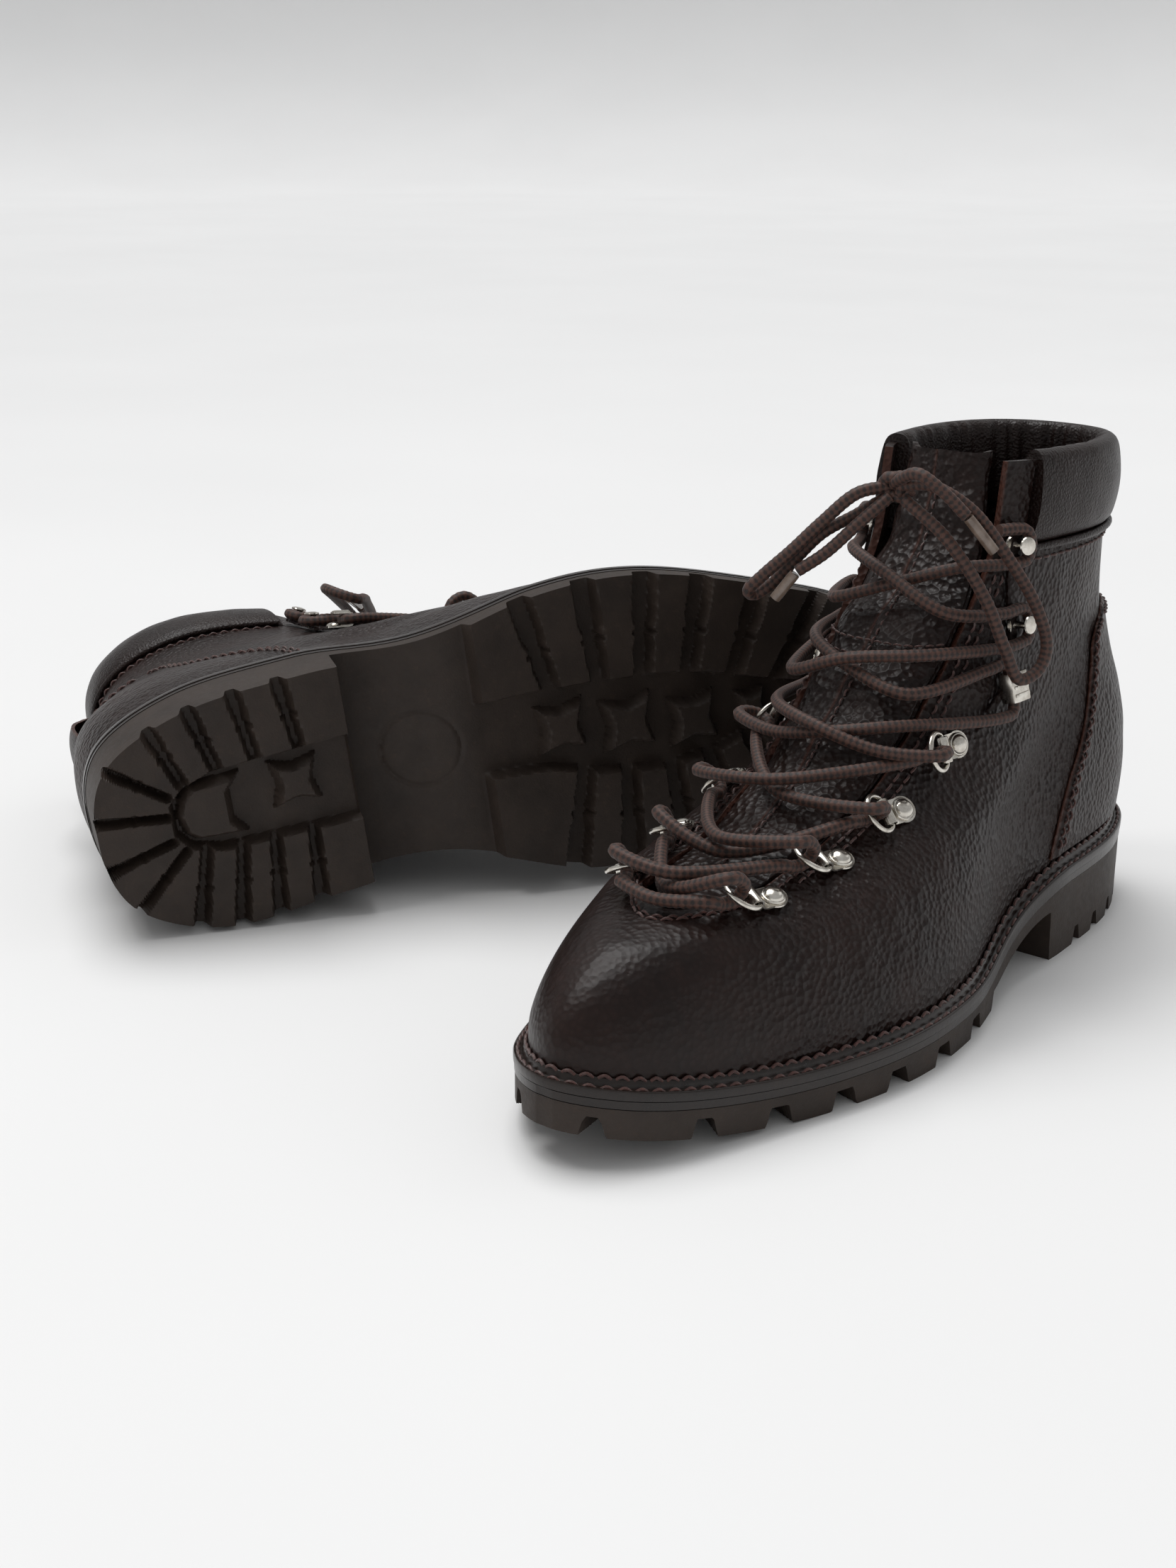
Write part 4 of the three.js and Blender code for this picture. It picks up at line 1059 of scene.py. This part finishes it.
def lock_hook_part():
    claw = [(11.2, 0.95), (3.4, 0.95), (1.9, 1.3), (1.25, 2.4), (1.2, 4.4), (1.7, 5.7), (2.9, 6.3), (8.6, 6.4)]
    parts = [extrude_y(ribbon(claw, 0.9), 9.4)]
    for y in (-2.6, 0, 2.6):
        rib = extrude_y(ribbon([(2.2, 6.4), (2.8, 6.95), (8.2, 7.0)], 0.5), 1.1, 0.15)
        rib[0][:, 1] += y
        parts.append(rib)
    dome = [(2.35 * math.cos(a), 1.6 + 1.2 * math.sin(a)) for a in np.linspace(0.1, 1.4, 6)]
    for y in (-2.9, 2.9):
        rivet = lathe([(0, 1.2), (2.7, 1.2), (2.75, 1.5), (2.4, 1.62)] + dome + [(0, 2.8)])
        rivet[0][:, 0] += 8.4
        rivet[0][:, 1] += y
        parts.append(rivet)
    return merge(parts)


def speed_hook_part():
    base = lathe([(0, 0.4), (3.0, 0.4), (3.1, 0.8), (2.8, 1.3), (0, 1.45)])
    base[0][:, 0] += 4
    stem = lathe([(0, 1.0), (1.5, 1.0), (1.15, 2.2), (1.15, 4.9), (1.6, 6.0), (0, 6.1)])
    stem[0][:, 0] += 4.6
    cap = lathe([(0, 5.8), (2.7, 5.85), (3.0, 6.2), (2.8, 6.6), (1.6, 6.95), (0, 7.05)])
    cap[0][:, 0] += 5.4
    return merge([base, stem, cap])


def hook_x(t):
    places = [LOCK_HOOK, *SPEED_HOOKS]
    return float(np.interp(t, [p[0] for p in places], [p[1] for p in places]))


HOOK_STRIP_SECTION = np.array([
    (2, 0, 0.1), (2, 0, 1.1), (2.4, 0, 1.4), (6.6, 0, 1.4), (7, 0, 1.1), (7, 0, 0.1),
])


def hook_strip_part(side):
    """Leather strip that the three hooks of a side are riveted to."""
    rows = []
    for t in np.linspace(0.66, 0.93, 24):
        place = station(t, side * hook_x(t))
        rows.append(HOOK_STRIP_SECTION @ place[:3, :3].T + place[:3, 3])
    points = np.concatenate(rows)
    return points, loop_faces(len(rows), len(HOOK_STRIP_SECTION)), {"edge": np.zeros(len(points))}


def hooks_part(side):
    parts = [moved(lock_hook_part(), station(LOCK_HOOK[0], side * LOCK_HOOK[1]))]
    parts += [moved(speed_hook_part(), station(t, side * x)) for t, x in SPEED_HOOKS]
    return merge(parts)


# ---------------------------------------------------------------- lace and bow

RING_TURN = [(-13.5, -4.3), (-9.4, -4.3), (-5.3, -2.3), (-5.3, 2.7), (-9.4, 5), (-13.5, 4.4)]
LOCK_TURN = [(-5, -8), (2.8, -7.8), (4.4, -3), (4.4, 3), (2.8, 7.8), (-5, 8)]
SPEED_TURN = [(-4, -5.4), (3, -5.4), (7, -4.6), (8.8, 0), (7, 4.6), (3, 5.4), (-4, 5.4)]
HOOK_LACE_HEIGHT = 3.6
SHOULDER, SHOULDER_HEIGHT = 1.9, 4.6
CROSSINGS = (4.4, 9.3)


def turn_points(index, side):
    if index < len(CLIPS):
        t, x = CLIPS[index]
        place = ring_place(station(t, side * x))
        local = [(px, 0, pz) for px, pz in RING_TURN]
    else:
        hook = index - len(CLIPS)
        t, x = [LOCK_HOOK, *SPEED_HOOKS][hook]
        place = station(t, side * x)
        local = [(px, py * side, HOOK_LACE_HEIGHT) for px, py in (SPEED_TURN if hook else LOCK_TURN)]
    return list(np.array(local) @ place[:3, :3].T + place[:3, 3])


def strand(index, side, crossing):
    levels = [place[0] for place in (*CLIPS, LOCK_HOOK, *SPEED_HOOKS)]
    a, b = levels[index], levels[index + 1]
    middle = surface((a + b) / 2, FRONT, crossing)
    if index < len(CLIPS) - 1:
        return [middle]
    height = mix(SHOULDER_HEIGHT, crossing, 0.4)
    shoulder = lambda part, way: surface(mix(a, b, part), FRONT - way * SHOULDER, height)
    return [shoulder(0.25, side), middle, shoulder(0.75, -side)]


def lace_half(first_side, crossing):
    points = []
    turns = len(CLIPS) + 1 + len(SPEED_HOOKS)
    for index in range(turns):
        side = -first_side if index % 2 else first_side
        points += turn_points(index, side)
        if index < turns - 1:
            points += strand(index, side, crossing)
    return points


def braid(angle, distance):
    """Crossing strands of a round braided lace."""
    turn = distance * 1.6
    return 1 + 0.075 * np.cos(3 * angle + turn) * np.cos(3 * angle - turn)


def lace_part():
    bar = surface(0.375, FRONT, 4.2)
    route = lace_half(1, CROSSINGS[0])[::-1] + [bar] + lace_half(-1, CROSSINGS[1])
    return sweep(smooth_path(route, 0.45), LACE_RADIUS * 0.96, 20, profile=braid)


# Bow routes as (x, s, z): loops and tails.
KNOT = (-1, 132, 161)
LOOPS = {
    "medial": [
        (-3, 132, 161), (-10, 140, 159), (-18, 147, 150), (-25, 153, 141), (-32, 158, 133), (-36, 160, 128),
        (-36, 157, 126), (-32, 154, 129), (-26, 150, 137), (-19, 145, 146), (-11, 138, 152), (-3, 133, 158),
    ],
    "lateral": [
        (2, 133, 162), (12, 133, 163), (23, 127, 156), (33, 120, 141), (41, 114, 125), (44, 112, 113),
        (43, 115, 106), (40, 121, 104), (37, 126, 114), (31, 130, 130), (19, 135, 148), (4, 135, 158),
    ],
}
TAILS = {
    "medial": [(-2, 134, 158), (-8, 142, 150), (-15, 149, 141), (-22, 154, 135)],
    "lateral": [(-1, 133, 162), (2, 135, 164), (10, 138, 167), (18, 136, 162), (24, 132, 155)],
}
AGLETS = {
    "medial": [(-22.5, 154.3, 134.3), (-28, 157, 126)],
    "lateral": [(24.4, 131.7, 154.5), (31, 126, 144)],
}


def route(points):
    return np.array([at(*point) for point in points])


def knot_part():
    """Overhand wrap: two rounds of lace about the knot's centre."""
    centre = at(*KNOT)
    turn = np.linspace(0, 4 * math.pi, 120)
    x = 3.6 * np.cos(turn) + 1.2 * np.cos(turn / 2)
    z = 3.0 * np.sin(turn)
    y = 1.5 * np.sin(turn / 2 + 0.6)
    return sweep(centre + np.stack([x, y, z], 1), LACE_RADIUS * 0.95, 14, profile=braid)


def aglet_part(ends):
    """Tip over a tail's end, drawn in a little at its start."""
    drawn_in = lambda angle, distance: np.where(distance < 1.2, 0.95 + 0.04 * distance, 1.0)
    return sweep(smooth_path(route(ends), 0.8), LACE_RADIUS * 0.9, 18, profile=drawn_in)


def add_bow_cord(boot, name, stops):
    path = smooth_path(route(stops), 0.45)
    part = sweep(path, LACE_RADIUS * 0.96, 16, profile=braid)
    cord = add_piece(boot, name, part, "lace", ["bow"])


def add_bow(boot):
    add_piece(boot, "knot", knot_part(), "lace", ["bow"])
    for side in ("medial", "lateral"):
        name = f"aglet_{side}"
        aglet = add_piece(boot, name, aglet_part(AGLETS[side]), "aglet", [name])
        add_bow_cord(boot, f"bow_loop_{side}", LOOPS[side])
        add_bow_cord(boot, f"bow_tail_{side}", TAILS[side])


# ---------------------------------------------------------------- both boots


def add_boot(boot):
    add_piece(boot, "upper", upper_part(), "upper", ["upper"])
    add_piece(boot, "tongue", tongue_part(), "coarse", ["tongue"])
    add_piece(boot, "heel_counter", counter_part(), "upper", ["heel_counter"])
    add_piece(boot, "heel_loop", heel_loop_part(), "soft", ["heel_counter"])
    collar = add_piece(boot, "collar", collar_part(), "soft", ["collar"])
    add_piece(boot, "collar_bead", collar_bead_part(), "soft")
    add_piece(boot, "welt", welt_part(), "edge", ["welt"])
    under_welt = lambda s: welt_top(s) - WELT_THICKNESS - GAP
    midsole = sole_sheet(0.3, lambda s: outsole_top(s) + GAP, under_welt)
    add_piece(boot, "midsole", midsole, "edge", ["midsole"])
    add_piece(boot, "outsole", outsole_part(), "rubber", ["outsole"], sharp=32)
    footbed = sole_sheet(13, lambda s: welt_top(s) - WELT_THICKNESS + GAP, lambda s: welt_top(s) + 1.5)
    add_piece(boot, "footbed", footbed, "lining", ["footbed"])
    add_piece(boot, "upper_stitches", upper_stitches(), "red_thread")
    add_piece(boot, "flap_stitches", flap_stitches(), "red_thread")
    add_piece(boot, "welt_stitches", welt_stitches(), "red_thread")
    add_piece(boot, "lace", lace_part(), "lace", ["lace"])
    add_bow(boot)
    clip, hoop = clip_part(), ring_part()
    for side_name, side in (("lateral", 1), ("medial", -1)):
        hooks = f"hooks_{side_name}"
        add_piece(boot, hooks, hooks_part(side), "nickel", [hooks], sharp=35)
        strip = hook_strip_part(side)
        add_piece(boot, f"hook_strip_{side_name}", strip, "upper", [hooks])
        for index, (t, x) in enumerate(CLIPS):
            place = station(t, side * x)
            name = f"{side_name}_{index + 1}"
            clip_name, ring_name = f"clip_{name}", f"ring_{name}"
            add_piece(boot, clip_name, moved(clip, place), "nickel", [clip_name], sharp=35)
            swung = moved(hoop, ring_place(place))
            body = f"{boot}_swing_{name}"
            add_piece(boot, ring_name, swung, "nickel", [ring_name], body, sharp=180)


# ---------------------------------------------------------------- studio

CAMERA_PLACE = (326.2, -657.0, 279.9)
CAMERA_AXES = [(0.7821, 0.6231, 0.0057), (-0.2024, 0.2454, 0.9481), (0.5894, -0.7426, 0.3180)]
CAMERA_FIELD = math.radians(31.31)


def add_camera():
    data = bpy.data.cameras.new("camera")
    data.sensor_fit = "HORIZONTAL"
    data.angle = CAMERA_FIELD
    data.clip_start = 0.01
    camera = bpy.data.objects.new("camera", data)
    place = Matrix([(*row, 0) for row in CAMERA_AXES] + [(0, 0, 0, 1)]).transposed()
    place.translation = [value * MM for value in CAMERA_PLACE]
    camera.matrix_world = place
    bpy.context.scene.collection.objects.link(camera)
    bpy.context.scene.camera = camera


def add_light(name, place, target, size, power, colour=(1, 1, 1)):
    data = bpy.data.lights.new(name, "AREA")
    data.shape = "RECTANGLE"
    data.size, data.size_y = size
    data.energy = power
    data.color = colour
    light = bpy.data.objects.new(name, data)
    way = (Matrix.Translation(target).translation - Matrix.Translation(place).translation).normalized()
    light.rotation_euler = way.to_track_quat("-Z", "Y").to_euler()
    light.location = place
    bpy.context.scene.collection.objects.link(light)


FLOOR_REACH = 5.0
BACKDROP_RISE = 1.6


def floor_mesh():
    """Round floor whose rim curves up all round, so that no horizon shows."""
    radii = list(np.linspace(0.0, FLOOR_REACH, 6)[1:])
    rings = [(radius, 0.0) for radius in radii]
    rings += [(FLOOR_REACH + BACKDROP_RISE * math.sin(a), BACKDROP_RISE * (1 - math.cos(a)))
              for a in np.linspace(0.1, math.pi / 2, 16)]
    sides = 96
    points = [(0, 0, 0)]
    angles = [2 * math.pi * j / sides for j in range(sides)]
    for radius, height in rings:
        points += [(radius * math.cos(angle), radius * math.sin(angle), height) for angle in angles]
    faces = [(0, 1 + j, 1 + (j + 1) % sides) for j in range(sides)]
    for row in range(len(rings) - 1):
        a, b = 1 + row * sides, 1 + (row + 1) * sides
        faces += [(a + j, b + j, b + (j + 1) % sides, a + (j + 1) % sides) for j in range(sides)]
    mesh = bpy.data.meshes.new("floor")
    mesh.from_pydata(points, [], faces)
    mesh.polygons.foreach_set("use_smooth", [True] * len(mesh.polygons))
    return mesh


def add_sun(way, strength, spread):
    data = bpy.data.lights.new("overhead", "SUN")
    data.energy = strength
    data.angle = math.radians(spread)
    sun = bpy.data.objects.new("overhead", data)
    sun.rotation_euler = Matrix.Translation(way).translation.to_track_quat("Z", "Y").to_euler()
    bpy.context.scene.collection.objects.link(sun)


def add_studio():
    world = bpy.data.worlds.new("studio")
    world.use_nodes = True
    world.node_tree.nodes["Background"].inputs["Color"].default_value = (0.95, 0.955, 0.96, 1)
    world.node_tree.nodes["Background"].inputs["Strength"].default_value = 0.42
    bpy.context.scene.world = world
    bpy.context.scene.view_settings.view_transform = "Standard"
    middle = (-0.12, -0.1, 0.06)
    add_light("key", (-0.5, -0.62, 1.1), middle, (0.3, 0.3), 2.2, (1, 0.99, 0.975))
    add_light("back", (0.3, 1.2, 1.2), middle, (1.4, 0.6), 1.5)
    add_sun((-0.3, 0.12, 1.0), 1.95, 36)
    mesh = floor_mesh()
    mesh.materials.append(plain_floor())
    floor = bpy.data.objects.new("floor", mesh)
    bpy.context.scene.collection.objects.link(floor)


add_camera()
for boot_name in PLACES:
    add_boot(boot_name)
add_studio()
